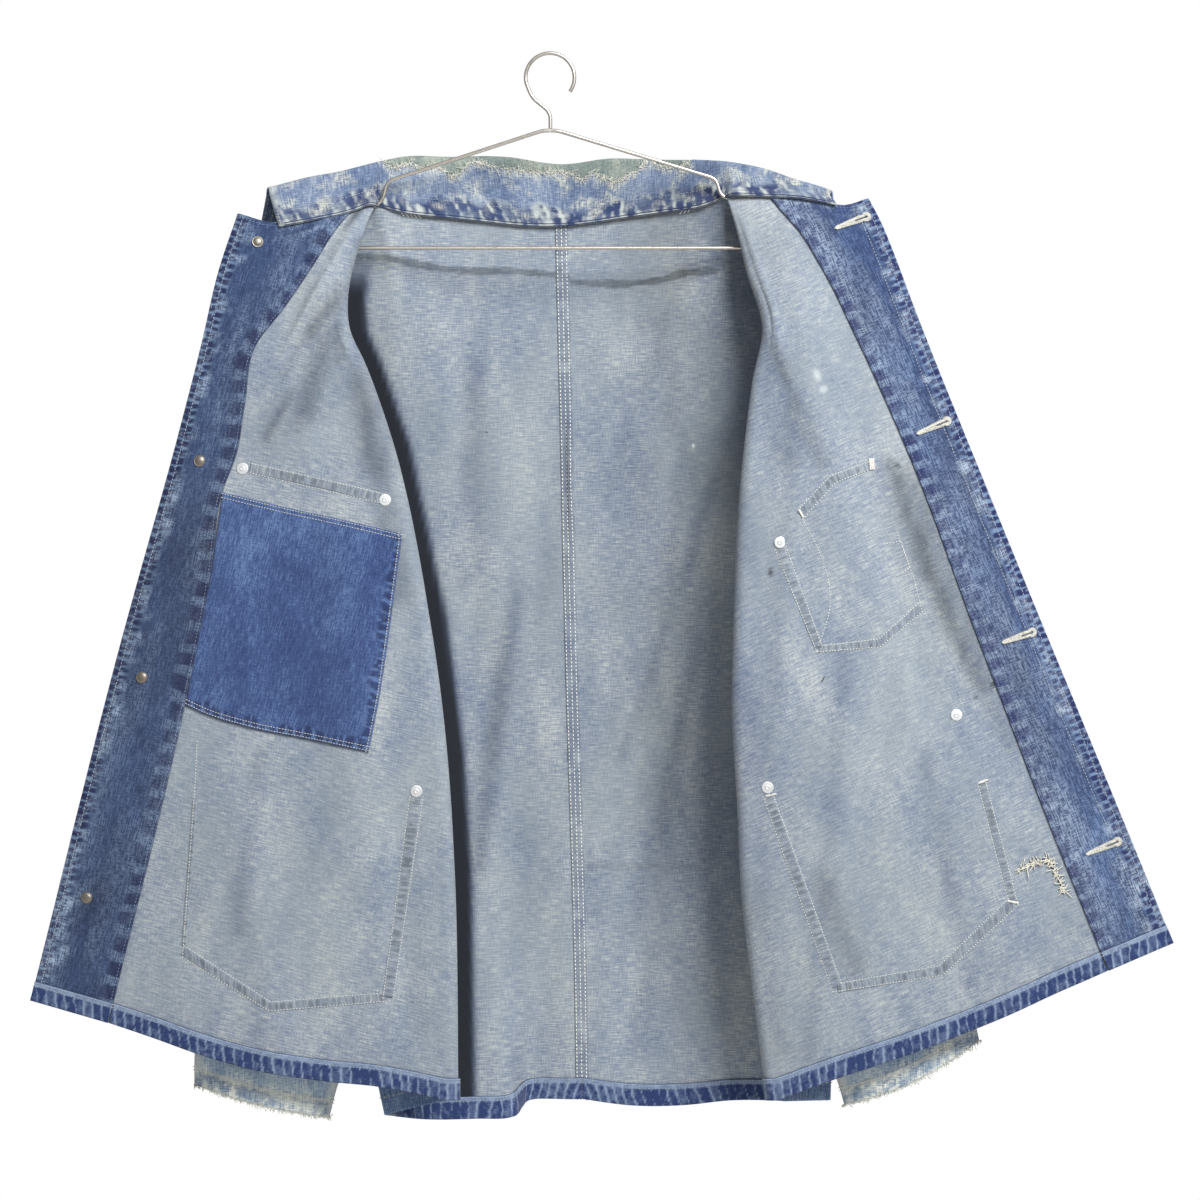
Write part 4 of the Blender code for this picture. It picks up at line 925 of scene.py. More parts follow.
# %% Shell of the collar
picks = [fronts["right"], fronts["left"]]


def neck_seam():
    """The collar's seam: a little above the neck edges of both fronts and of the back."""
    halves = {}
    for side in ("right", "left"):
        front = front_grid(fronts[side], np.array([0.0]), facing=[1 / 3, 2 / 3], door=[0, 3 / 8, 7 / 8])[0]
        back = back_grid(fronts[side], backs[side], np.array([0.0]), np.array([0, 1, 2, 3, 4, 5]) * NECK_SHARE / 5)[0]
        halves[side] = (front, back)
    right, left = halves["right"], halves["left"]
    centre = (right[1][:1] + left[1][:1]) / 2
    seam = np.concatenate([right[0], right[1][:0:-1], centre, left[1][1:], left[0][::-1]])
    return seam + np.array((0, 0, COLLAR_GAP))


seam_points = neck_seam()
lengths = np.concatenate([[0], np.cumsum(np.linalg.norm(np.diff(seam_points, axis=0), axis=1))])
COLLAR_RUN = np.linspace(0, lengths[-1], 200)
seam_line = smooth(lengths, seam_points)(COLLAR_RUN)
along_x = np.clip(seam_line[:, 0], COLLAR_SEAM_X[0], COLLAR_SEAM_X[-1])
roll, leaf = smooth(COLLAR_SEAM_X, COLLAR_ROLL)(along_x), smooth(COLLAR_SEAM_X, COLLAR_LEAF)(along_x)
crest = sight(np.stack([roll[:, 0], roll[:, 1] + ROLL_RADIUS, roll[:, 2] - ROLL_RADIUS], -1))
end = sight(leaf)
back_way = (end - crest) * (1, 1, 0)
back_way /= np.linalg.norm(back_way, axis=1, keepdims=True)
columns = [seam_line + (crest - ROLL_RADIUS * back_way - seam_line) * s for s in np.linspace(0, 1, 15)]
for angle in np.radians(np.linspace(0, 180, 11)[1:]):
    columns.append(crest - ROLL_RADIUS * math.cos(angle) * back_way + np.array((0, 0, ROLL_RADIUS * math.sin(angle))))
columns += [columns[-1] + (end - columns[-1]) * s for s in np.linspace(0, 1, 16)[1:]]
grid = np.stack(columns, 1)
away = directions(grid)
up = run_across(grid)
grid = grid + away * (0.8 * noise(run_down(grid) / 30, up / 22, 103) * fade_in(up, 12))[..., None]
run = run_down(grid)
layer("collar", grid, away, -HALF, HALF, [UNDER_COLLAR, OUTSIDE], np.stack([run, up], -1) * 0.001,
      edge=band(np.minimum(run, run[-1:] - run), 7), rope=puckers(up, np.minimum(run, run[-1:] - run), 131))
print("collar seam", round(lengths[-1]), "mm long")

# %% The worn outer layer of the collar, torn along its roll
TORN = [(380, 163), (391, 167), (411, 163), (420, 169), (438, 167), (450, 177), (461, 172), (470, 163), (488, 163), (504, 170),
        (527, 172), (543, 172), (571, 173), (581, 179), (593, 174), (617, 184), (636, 171), (646, 162), (671, 169), (691, 163)]
base, base_away = layers["collar"][:2]
rows, columns = base.shape[:2]
share = (base[..., 1] - EYE[1]) / -EYE[1]
seen_x, seen_z = EYE[0] + (base[..., 0] - EYE[0]) / share, EYE[2] + (base[..., 2] - EYE[2]) / share
torn = np.array(TORN, float)
crest_height = seen_z[:, :21].max(1)
torn_height = np.interp(seen_x[:, 10], (torn[:, 0] - 550) * 0.8, (55 - torn[:, 1]) * 0.8, left=0, right=0)
outside = (seen_x[:, 10] < -136) | (seen_x[:, 10] > 113)
run = run_down(base)[:, 0]
ragged = 1.3 * noise(run / 3.2, 0 * run, 161) + 0.8 * noise(run / 1.3, 0 * run, 163)
top = np.where(outside, crest_height - 0.5, np.minimum(crest_height - 1.0, torn_height + ragged))
STAND = np.concatenate([[-5.0, -4.2, -2.5], np.linspace(0, 1, 26)])
grid, away = np.empty((rows, len(STAND), 3)), np.empty((rows, len(STAND), 3))
for i in range(rows):
    reach = np.interp(top[i], seen_z[i, :21], np.arange(21))
    where = np.clip(STAND, 0, 1) * reach
    for axis in range(3):
        grid[i, :, axis] = np.interp(where, np.arange(columns), base[i, :, axis])
        away[i, :, axis] = np.interp(where, np.arange(columns), base_away[i, :, axis])
    down_way = (base[i, 0] - base[i, 3]) / np.linalg.norm(base[i, 0] - base[i, 3])
    grid[i] += np.minimum(STAND, 0)[:, None] * -down_way
away /= np.linalg.norm(away, axis=2, keepdims=True)
up = run_across(grid)
below = np.clip(1 - up / 11, 0, 1)
run = run_down(grid)[:, :1] + 0 * up
ends = np.minimum(run, run[-1:] - run)
rope = -0.08 + 0.7 * puckers(run, up, 171, pitch=10, width=20, slant=0.35) + 0.8 * noise(run / 8, up / 6, 173) + 0.4 * noise(run / 2.8, up / 2.8, 175)
edge = np.clip(band(up, 11 + 6 * noise(run / 12, 0 * run, 175), 8) * (0.85 + 0.5 * noise(run / 17, up / 14, 177)), 0, 0.95)
rub = np.clip(noise(run / 13, up / 9, 179) + 0.5 * noise(run / 4, up / 4, 181) - 0.15, 0, 1)
near_tear = band(up[:, -1:] - up, 3, 5) * ~outside[:, None]
low = HALF + 0.3 + 2.3 * soft_step(below * 1.3)
lift = -0.35 * np.clip(rope, -1, 1) * band(up, 10) * fade_in(up, 2)
layer("collar_stand", grid, away, low, low + 0.8 + lift, [COLLAR_DENIM, UNDER_COLLAR], np.stack([run, up], -1) * 0.001,
      rope=np.clip(rope, -1, 1), edge=np.maximum(edge, 0.8 * band(ends, 3, 5)), wear=np.clip((0.5 - 0.1 * band(up, 12, 4)) * rub + 0.3 * near_tear, 0, 0.75),
      stain=0.5 * np.exp(-((up - 6.2) / 0.7) ** 2) * np.clip(0.7 + 0.6 * noise(run / 9, 0 * run, 183), 0, 1))
print("collar torn back over", round(float((~outside).sum() / rows * 100)), "% of its length")

# %% [markdown]
# ## Patches and pockets
# The patch inside the right front and the pockets outside both fronts are drawn by their corners as seen from the
# front. A ray from the eye through each point finds the front's cloth, and the point moves out from it.

# %% Pieces that lie on a front
doors = {}
for side in ("right", "left"):
    grid, away = panel_grids[side]
    rows, columns = grid.shape[:2]
    index = np.arange(rows * columns).reshape(rows, columns)
    quads = np.stack([index[:-1, :-1], index[:-1, 1:], index[1:, 1:], index[1:, :-1]], -1).reshape(-1, 4)
    doors[side] = (BVHTree.FromPolygons(grid.reshape(-1, 3).tolist(), quads.tolist()), quads, away.reshape(-1, 3))


def on_door(side, places, lift=0.0):
    """Points on a front's middle surface, seen from the eye over the given places, with their directions."""
    tree, quads, away = doors[side]
    origin = Vector(EYE)
    points, ways = [], []
    for x, z in np.asarray(places, float).reshape(-1, 2):
        hit, _, face, _ = tree.ray_cast(origin, Vector((x, 0, z)) - origin)
        if hit is None:
            hit, _, face, _ = tree.find_nearest(Vector(sight(np.array((x, -40.0, z)))))
        points.append(hit[:])
        ways.append(away[quads[face]].mean(0))
    points, ways = np.array(points), np.array(ways)
    ways /= np.linalg.norm(ways, axis=1, keepdims=True)
    shape = np.asarray(places, float).shape[:-1] + (3,)
    return (points + ways * lift).reshape(shape), ways.reshape(shape)


def four_sided(corners, rows, columns):
    """A grid of places between four corners: upper left, upper right, lower right, lower left."""
    s, t = np.linspace(0, 1, columns)[None, :, None], np.linspace(0, 1, rows)[:, None, None]
    a, b, c, d = (np.array(p, float) for p in corners)
    return (1 - t) * ((1 - s) * a + s * b) + t * ((1 - s) * d + s * c)


def side_lines(points):
    """A curve by share along some places."""
    return by_length([(x, 0, z) for x, z in points])


def framed(left, right, top, bottom, rows, columns):
    """A grid of places between four lines, as a Coons patch."""
    curves = [side_lines(line) for line in (left, right, top, bottom)]
    s, t = np.linspace(0, 1, columns), np.linspace(0, 1, rows)
    l, r, u, d = curves[0](t), curves[1](t), curves[2](s), curves[3](s)
    s, t = s[None, :, None], t[:, None, None]
    grid = (1 - s) * l[:, None] + s * r[:, None] + (1 - t) * u[None] + t * d[None]
    grid -= (1 - s) * (1 - t) * l[0] + s * (1 - t) * r[0] + (1 - s) * t * l[-1] + s * t * r[-1]
    return grid[..., (0, 2)]


PATCH_LEFT = [(-261.5, -350), (-265, -374.4), (-268.5, -400), (-271.5, -420), (-277.5, -450), (-283.5, -480), (-291, -520)]
PATCH_RIGHT = [(-118.4, -383.2), (-122, -410), (-130, -468), (-138, -520), (-145.6, -557.6)]
PATCH_TOP = [(-261.5, -350), (-220, -360), (-170, -371), (-118.4, -383.2)]
PATCH_BOTTOM = [(-291, -520), (-276, -527), (-240, -538), (-190, -548), (-145.6, -557.6)]
places = framed(PATCH_LEFT, PATCH_RIGHT, PATCH_TOP, PATCH_BOTTOM, 100, 90)
grid, away = on_door("right", places)
across, down = run_across(grid), run_down(grid)
from_right, from_foot = across[:, -1:] - across, down[-1:] - down
rope = np.where(from_right < from_foot, puckers(down, from_right, 107, pitch=7), puckers(across, from_foot, 109, pitch=7))
edge = np.maximum(band(from_right, 6 + 4 * noise(down / 9, 0 * down, 5)), band(from_foot, 6 + 4 * noise(across / 9, 0 * down, 6)))
lift = -0.35 * rope * edge * fade_in(np.minimum(from_right, from_foot), 2)
lift += 0.35 * noise(across / 40, down / 14, 113) * fade_in(across, 10) * fade_in(down, 10)
layer("inner_patch", grid, away, ON_PANEL, ON_PANEL + POCKET_CLOTH + lift, [PATCH_DENIM, REVERSE],
      flat_map(grid, TILT["right"], 0), rope=rope, edge=0.8 * edge)

OUTER_POCKETS = {
    "chest_pocket_right": ("right", [(-251, -326), (-126, -354), (-150, -488), (-268, -468)]),
    "lower_pocket_right": ("right", [(-284, -550), (-106, -585), (-128, -756), (-290, -730)]),
    "chest_pocket_left": ("left", [(190, -378), (262, -325), (293, -450), (216, -478)]),
    "lower_pocket_left": ("left", [(172, -585), (326, -526), (368, -690), (228, -748)]),
}
for name, (side, corners) in OUTER_POCKETS.items():
    grid, away = on_door(side, four_sided(corners, 44, 44))
    across, down = run_across(grid), run_down(grid)
    near_edge = np.minimum.reduce([across, across[:, -1:] - across, down, down[-1:] - down])
    rope = puckers(across + down, near_edge, 127)
    lift = -0.3 * rope * band(near_edge, 8) * fade_in(near_edge, 2)
    layer(name, grid, away, -ON_PANEL - POCKET_CLOTH - lift, -ON_PANEL, [REVERSE, OUTSIDE], flat_map(grid, TILT[side], 0),
          rope=rope, edge=0.6 * band(near_edge, 8))
print(len(garment), "pieces of cloth")

# %% [markdown]
# ## Sewing
# A stitch shows as a short rounded length of thread between two holes. One Geometry Nodes tree sews them all: it
# takes lines that lie on the cloth, spaces points evenly along them and sets a small grain of thread on each, turned
# along the line. A second tree draws a loose or wound thread as a thin tube.

# %% Two trees for thread
def new_tree(name, inputs):
    tree = bpy.data.node_groups.new(name, "GeometryNodeTree")
    tree.interface.new_socket("Geometry", in_out="OUTPUT", socket_type="NodeSocketGeometry")
    tree.interface.new_socket("Geometry", in_out="INPUT", socket_type="NodeSocketGeometry")
    for label, value in inputs.items():
        tree.interface.new_socket(label, in_out="INPUT", socket_type="NodeSocketFloat").default_value = value
    tree.interface.new_socket("Material", in_out="INPUT", socket_type="NodeSocketMaterial")
    return tree, add(tree, "NodeGroupInput").outputs


def close_tree(tree, given, geometry):
    real = add(tree, "GeometryNodeRealizeInstances", {"Geometry": geometry})
    soft = add(tree, "GeometryNodeSetShadeSmooth", {"Geometry": real.outputs["Geometry"]})
    done = add(tree, "GeometryNodeSetMaterial", {"Geometry": soft.outputs["Geometry"], "Material": given["Material"]})
    add(tree, "NodeGroupOutput", {"Geometry": done.outputs["Geometry"]})


sewing, given = new_tree("row of stitches", {"Pitch": 0.0027, "Length": 0.0024, "Width": 0.0006, "Height": 0.0005})
path = add(sewing, "GeometryNodeMeshToCurve", {"Mesh": given["Geometry"]})
even = add(sewing, "GeometryNodeResampleCurve", {"Curve": path.outputs["Curve"], "Length": given["Pitch"]}, mode="LENGTH")
grain = add(sewing, "GeometryNodeMeshUVSphere", {"Segments": 5, "Rings": 3, "Radius": 0.5})
way = add(sewing, "GeometryNodeInputTangent")
face = add(sewing, "GeometryNodeInputNamedAttribute", {"Name": "out"}, data_type="FLOAT_VECTOR")
turned = add(sewing, "FunctionNodeAlignRotationToVector", {"Vector": way.outputs["Tangent"]}, axis="X")
stood = add(sewing, "FunctionNodeAlignRotationToVector", {"Rotation": turned.outputs["Rotation"], "Vector": face.outputs["Attribute"]},
            axis="Z", pivot_axis="X")
size = add(sewing, "ShaderNodeCombineXYZ", {"X": given["Length"], "Y": given["Width"], "Z": given["Height"]})
placed = add(sewing, "GeometryNodeInstanceOnPoints", {"Points": even.outputs["Curve"], "Instance": grain.outputs["Mesh"],
                                                      "Rotation": stood.outputs["Rotation"], "Scale": size.outputs["Vector"]})
close_tree(sewing, given, placed.outputs["Instances"])

spinning, given = new_tree("lengths of thread", {"Radius": 0.0003})
path = add(spinning, "GeometryNodeMeshToCurve", {"Mesh": given["Geometry"]})
section = add(spinning, "GeometryNodeCurvePrimitiveCircle", {"Resolution": 4, "Radius": given["Radius"]})
tube = add(spinning, "GeometryNodeCurveToMesh", {"Curve": path.outputs["Curve"], "Profile Curve": section.outputs["Curve"], "Fill Caps": True})
close_tree(spinning, given, tube.outputs["Mesh"])


def run_tree(name, tree, paths, material, **settings):
    """A plain mesh made by a tree from paths of (points, directions) in mm."""
    mesh = bpy.data.meshes.new(name)
    edges, start = [], 0
    for points, _ in paths:
        edges += [(start + i, start + i + 1) for i in range(len(points) - 1)]
        start += len(points)
    mesh.from_pydata((np.concatenate([p for p, _ in paths]) * 0.001).tolist(), edges, [])
    mesh.attributes.new("out", "FLOAT_VECTOR", "POINT").data.foreach_set("vector", np.concatenate([d for _, d in paths]).astype(np.float32).ravel())
    made = bpy.data.objects.new(name, mesh)
    scene.collection.objects.link(made)
    modifier = made.modifiers.new("thread", "NODES")
    modifier.node_group = tree
    settings["Material"] = material
    for item in tree.interface.items_tree:
        if item.in_out == "INPUT" and item.name in settings:
            modifier[item.identifier] = settings[item.name]
    bpy.context.view_layer.update()
    plain = bpy.data.meshes.new_from_object(made.evaluated_get(bpy.context.evaluated_depsgraph_get()))
    made.modifiers.clear()
    made.data = plain
    extras.append(made)
    return made


extras = []
print(len(sewing.nodes) + len(spinning.nodes), "nodes in two trees")

# %% [markdown]
# ## Thread
# Sewing thread is twisted cotton: matt, with a faint twist that breaks its light. The white thread has greyed, the
# cream thread of the buttonholes and mends kept its wax, and some rows were sewn in dark blue.

# %% Thread materials


def thread(name, dark, pale, scale=900):
    made, tree, shader = new_material(name)
    place = add(tree, "ShaderNodeTexCoord").outputs["Object"]
    grainy = add(tree, "ShaderNodeTexNoise", {"Vector": place, "Scale": scale, "Detail": 2.0})
    ramp = add(tree, "ShaderNodeValToRGB", {"Fac": grainy.outputs["Fac"]})
    ramp.color_ramp.elements[0].position, ramp.color_ramp.elements[0].color = 0.3, linear(dark)
    ramp.color_ramp.elements[1].position, ramp.color_ramp.elements[1].color = 0.7, linear(pale)
    tree.links.new(ramp.outputs["Color"], shader.inputs["Base Color"])
    raised = add(tree, "ShaderNodeBump", {"Height": grainy.outputs["Fac"], "Strength": 0.4, "Distance": 0.0002})
    tree.links.new(raised.outputs["Normal"], shader.inputs["Normal"])
    shader.inputs["Roughness"].default_value = 0.75
    shader.inputs["Specular IOR Level"].default_value = 0.3
    shader.inputs["Sheen Weight"].default_value = 0.1
    return made


BRIGHT_THREAD = thread("white cotton thread", "#c4c5c0", "#f2f1ea")
POCKET_THREAD = thread("washed white cotton thread", "#b0b1ae", "#dddcd5")
BUTTON_TWIST = thread("greyed buttonhole twist", "#a5a49c", "#dcdad2")
WHITE_THREAD = thread("greyed white cotton thread", "#9a9b98", "#c9c8c0")
FAINT_THREAD = thread("worn pale cotton thread", "#8a929c", "#b0b6bb")
STAINED_THREAD = thread("cotton thread stained by indigo", "#5f6d85", "#8e9bad")
CREAM_THREAD = thread("waxed cream cotton thread", "#aaa797", "#dedbd0")
# The dark blue thread also draws painted shade lines along edges and in the tear's gap.
DARK_THREAD = thread("indigo thread, also for painted shade lines", "#1b2338", "#323f5e")
SLIT_SHADE_THREAD = thread("dark thread for the slit's painted shade", "#3c3f42", "#6b6d6c")
FRAY = thread("frayed cotton yarn", "#a3a69f", "#d6d5c8", 400)

# %% Lines along the edges of a piece, and lines over it as seen


def edge_line(name, edge, inset, lift=0.1, face="high", share=(0, 1)):
    """A line on a piece's face at a distance in mm from its start or end column, or its top or bottom row."""
    grid, away, high, low = layers[name]
    height = (high + lift) if face == "high" else (low - lift)
    if edge in ("top", "bottom"):
        grid, away, height = grid.swapaxes(0, 1), away.swapaxes(0, 1), height.T
    if edge in ("end", "bottom"):
        grid, away, height = grid[:, ::-1], away[:, ::-1], height[:, ::-1]
    distance = run_across(grid)
    after = np.clip((distance > inset).argmax(1), 1, None)
    row = np.arange(len(grid))
    u = ((inset - distance[row, after - 1]) / (distance[row, after] - distance[row, after - 1]))[:, None]
    lifted = grid + away * height[..., None]
    points = lifted[row, after - 1] * (1 - u) + lifted[row, after] * u
    out = away[row, after] * (1 if face == "high" else -1)
    first, last = (int(round(s * (len(row) - 1))) for s in share)
    return points[first:last + 1], out[first:last + 1]


def skin_tree(names):
    points, faces, start = [], [], 0
    for name in names:
        mesh = garment[name].data
        co = np.empty(3 * len(mesh.vertices), np.float32)
        mesh.vertices.foreach_get("co", co)
        points.append(co.reshape(-1, 3) * 1000)
        faces += [[v + start for v in f.vertices] for f in mesh.polygons]
        start += len(mesh.vertices)
    return BVHTree.FromPolygons(np.concatenate(points).tolist(), faces)


skins = {
    "right": skin_tree(["front_right", "facing_right", "inner_patch", "hem_front_right"]),
    "left": skin_tree(["front_left", "facing_left", "hem_front_left"]),
    "back": skin_tree(["back_right", "back_left", "hem_back_right", "hem_back_left"]),
    "collar": skin_tree(["collar"]),
    "cuffs": skin_tree(["sleeve_front_right", "sleeve_front_left"]),
}


def dense(places, step=2.0, curved=False):
    """Places spaced evenly along a line, straight between its corners or curved through them."""
    line = side_lines(places)(np.linspace(0, 1, 200))[:, (0, 2)] if curved else np.array(places, float)
    run = np.concatenate([[0], np.cumsum(np.linalg.norm(np.diff(line, axis=0), axis=1))])
    marks = np.linspace(0, run[-1], max(2, int(run[-1] / step) + 1))
    return np.stack([np.interp(marks, run, line[:, i]) for i in (0, 1)], -1)


def seen_line(skin, places, lift=0.12, step=2.0, curved=False, wobble=0.0, seed=0):
    """A line on the cloth that covers some places as seen from the eye."""
    origin, points, out = Vector(EYE), [], []
    marks = dense(places, step, curved)
    if wobble:
        marks = marks + wobble * np.stack([noise(np.arange(len(marks)) * 0.7, 0.5, seed), noise(np.arange(len(marks)) * 0.7, 9.5, seed)], -1)
    for x, z in marks:
        hit, normal, _, _ = skins[skin].ray_cast(origin, Vector((x, 0, z)) - origin)
        if hit is not None:
            normal = normal if normal.y < 0 else -normal
            points.append((hit + normal * lift)[:])
            out.append(normal[:])
    return np.array(points), np.array(out)


def px(*places):
    """Places in mm from places in the photograph's 1200 pixels, at 0.8 mm a pixel."""
    return [((x - 550) * 0.8, (55 - y) * 0.8) for x, y in places]


# %% [markdown]
# ## Rows of stitches
# The centre seam is felled: three rows of white thread hold its folded band. Pocket rows are pairs about 8 mm apart,
# as they come through from outside. The facings have one row along the seam and one or two along the front edge.

# %% The felled seam down the middle of the back
left_grid, left_away = layers["back_left"][:2]
right_grid, right_away = layers["back_right"][:2]
strip, strip_away = [], []
for offset in (-5.2, -4.6, -2.4, 0, 2.4, 4.6, 5.2):
    grid, away = (left_grid, left_away) if offset > 0 else (right_grid, right_away)
    distance = run_across(grid)
    after = np.clip((distance > abs(offset)).argmax(1), 1, None)
    row = np.arange(len(grid))
    u = ((abs(offset) - distance[row, after - 1]) / (distance[row, after] - distance[row, after - 1]))[:, None]
    strip.append(grid[row, after - 1] * (1 - u) + grid[row, after] * u)
    strip_away.append(away[row, after])
strip, strip_away = np.stack(strip, 1), np.stack(strip_away, 1)
down, across = run_down(strip), run_across(strip)
ridge = 0.35 * np.clip(noise(down / 4.5, across / 3, 141), -1, 1) * band(np.abs(across - 5.2), 4, 1)
layer("centre_seam", strip, strip_away, HALF + 0.05, HALF + np.where(np.abs(across - 5.2) > 4.9, 0.2, 0.75) + ridge,
      [REVERSE, REVERSE], flat_map(strip, 0, 0), rope=-0.3 + 0.9 * noise(down / 5, across / 4, 143), edge=0.35)
seam_rows = [edge_line("centre_seam", "start", inset, 0.15) for inset in (1.4, 5.2, 9.0)]
seam_rows += [edge_line(f"back_{side}", "start", inset, 0.05, "low") for side, inset in (("right", 3.8), ("right", 0.4), ("left", 3.8))]
run_tree("centre_seam_stitches", sewing, seam_rows, BRIGHT_THREAD, Pitch=0.0031, Length=0.0027, Width=0.0010, Height=0.0008)

# %% Rows on the facings, the hems and the patch
rows, seams = [], []
for side, insets in (("right", (5.0,)), ("left", (5.0, 14.0))):
    rows += [edge_line(f"facing_{side}", "start", inset, share=(0, 0.975)) for inset in insets]
    seams += [edge_line(f"facing_{side}", "end", 2.0, share=(0.0, 0.975)), edge_line(f"facing_{side}", "top", 3.0)]
run_tree("facing_stitches", sewing, rows, FAINT_THREAD, Width=0.0006)
run_tree("facing_seam_stitches", sewing, seams, STAINED_THREAD, Width=0.0005)
rows = [edge_line(f"hem_{part}_{side}", "top", inset, 0.1) for part in ("front", "back", "facing") for side in ("right", "left") for inset in (0.9, 3.4)]
run_tree("hem_stitches", sewing, rows, FAINT_THREAD, Width=0.0005)
rows = [edge_line("inner_patch", edge, inset) for edge, insets in (("top", (1.2, 4.2)), ("bottom", (1.2, 4.2)), ("end", (1.6,))) for inset in insets]
run_tree("patch_stitches", sewing, rows, WHITE_THREAD, Pitch=0.0023, Length=0.0022, Width=0.0008)

# %% Turnings of the outside pockets, felt through the front
TURNINGS = {
    "chest_right_top": ("right", px((250, 468), (318, 482), (384, 499)), 8.5),
    "lower_right_side": ("right", px((416.5, 797), (388, 997)), 9.5),
    "lower_right_foot": ("right", px((386, 997), (270, 1007), (183.5, 951)), 7.5),
    "lower_right_inner": ("right", px((184, 946), (195, 800)), 4),
    "chest_left_top": ("left", px((873, 464), (832, 480), (800, 515)), 7.5),
    "chest_left_side": ("left", px((780, 549), (819, 648)), 8),
    "chest_left_foot": ("left", px((819, 649), (879, 643), (921, 607)), 6.5),
    "lower_left_side": ("left", px((768, 796), (837, 987)), 8.5),
    "lower_left_foot": ("left", px((837, 988), (941, 970), (1013, 902)), 8),
    "lower_left_inner": ("left", px((1013, 902), (1003, 862), (982, 782)), 6.5),
}
for number, (name, (side, line, width)) in enumerate(TURNINGS.items()):
    middle = dense(line, 1.4)
    across = np.gradient(middle, axis=0)[:, ::-1] * (1, -1)
    across /= np.linalg.norm(across, axis=1, keepdims=True)
    shares = np.linspace(-0.5, 0.5, 9)
    grid, away = on_door(side, middle[:, None] + across[:, None] * (shares * width)[None, :, None])
    run, over = run_down(grid), run_across(grid)
    lozenge = puckers(run, over, 151 + number, pitch=5.6, width=width, slant=0.05)
    raised = 0.35 * (1 - np.abs(2 * shares) ** 3)[None] * (0.6 - 0.4 * lozenge)
    middle_of = 1 - np.abs(2 * shares) ** 4
    layer(f"turning_{name}", grid, away, HALF + 0.02, HALF + 0.12 + raised, [REVERSE, REVERSE], np.stack([over, -run], -1) * 0.001,
          rope=0.3 + 0 * lozenge, edge=0.4 * middle_of[None] + 0 * lozenge, stain=0.46 * np.clip(-1.2 * lozenge, 0, 1) * middle_of[None])
for side in ("right", "left"):
    skins[side] = skin_tree([f"front_{side}", f"facing_{side}", f"hem_front_{side}"] + ["inner_patch"] * (side == "right")
                            + [f"turning_{name}" for name, (where, *_) in TURNINGS.items() if where == side])

# %% Pocket rows that come through from outside
POCKET_ROWS = {
    "right": [px((249, 463), (385, 494)), px((250, 473), (384, 504)), px((423, 797), (393, 998)), px((410, 797), (383, 998)),
              px((389, 1001), (269, 1011), (182.5, 957)), px((383, 993), (271, 1002), (184.5, 946)),
              px((182.5, 957), (195, 784), (197, 742))],
    "left": [px((874, 460), (830, 476), (798, 510)), px((873, 468), (835, 483), (803, 519)),
             px((775, 550), (817, 652)), px((786, 547), (821, 644)), px((817, 652), (880, 647), (922, 612)),
             px((822, 646), (879, 639), (920, 602)), px((922, 612), (914, 579), (896, 530)), px((884, 544), (901, 541), (910, 568), (892, 579)),
             px((763, 797), (833, 992)), px((773, 794), (841, 983)), px((833, 992), (943, 975), (1018, 905)),
             px((841, 983), (939, 966), (1008, 899)), px((1018, 905), (1007, 862), (985, 780)), px((1008, 899), (998, 862), (978, 784))],
}
rows = [seen_line(side, line) for side, lines in POCKET_ROWS.items() for line in lines]
rows += [seen_line("left", px((803, 520), (817, 547), (828, 579), (830, 604), (817, 651)), curved=True)]
run_tree("pocket_stitches_inside", sewing, rows, POCKET_THREAD, Pitch=0.0024, Length=0.0021, Width=0.0008)
rows = []
for name in OUTER_POCKETS:
    rows += [edge_line(name, edge, inset, 0.1, "low") for edge in ("start", "end", "top", "bottom") for inset in (2.0, 7.5)]
run_tree("pocket_stitches_outside", sewing, rows, CREAM_THREAD, Pitch=0.0042, Length=0.0036)
print("rows sewn")

# %% Rows on the collar, the sleeves and the outside
rows = [edge_line("collar_stand", "start", 14.5, share=(0.01, 0.99))]
rows += [edge_line("collar_stand", edge, 2.2) for edge in ("top", "bottom")]
run_tree("collar_stitches", sewing, rows, FAINT_THREAD, Width=0.0005)
rows = [edge_line("collar_stand", "start", inset, 0.05, share=(0.01, 0.99)) for inset in (0.5, 2.4)]
run_tree("collar_seam_threads", spinning, rows, DARK_THREAD, Radius=0.0004)
rows = [edge_line("collar", edge, inset, face="low") for edge in ("end", "top", "bottom") for inset in (2.2, 8)]
for side in ("right", "left"):
    rows += [edge_line(f"sleeve_front_{side}", "bottom", inset) for inset in (12.0, 14.5)]
    rows += [edge_line(f"sleeve_back_{side}", "bottom", inset, face="low") for inset in (12.0, 14.5)]
    rows += [edge_line(f"sleeve_back_{side}", "end", inset, face="low") for inset in (3.0, 9.0)]
    rows += [edge_line(f"back_{side}", "end", inset, face="low") for inset in (3.0, 9.0)]
    rows += [edge_line(f"back_{side}", "bottom", 14.0, face="low"), edge_line(f"back_{side}", "top", 5.0, face="low")]
    rows += [edge_line(f"front_{side}", "start", inset, face="low") for inset in (4.0, 12.0)]
    rows += [edge_line(f"front_{side}", "bottom", 14.0, face="low")]
run_tree("outside_stitches", sewing, rows, CREAM_THREAD, Pitch=0.0042, Length=0.0036)
# Thin dark threads along the edges of the facings, patch and hems: painted shadow lines where these edges meet the
# cloth.
rows = [edge_line(f"facing_{side}", "end", 0.1, -0.7, share=(0, 0.98)) for side in ("right", "left")]
rows += [edge_line("inner_patch", edge, 0.1, -0.6) for edge in ("end", "bottom")]
rows += [edge_line(f"hem_{part}_{side}", "top", 0.1, -0.6) for part in ("front", "back", "facing") for side in ("right", "left")]
run_tree("edge_shadow_lines", spinning, rows, DARK_THREAD, Radius=0.0005)

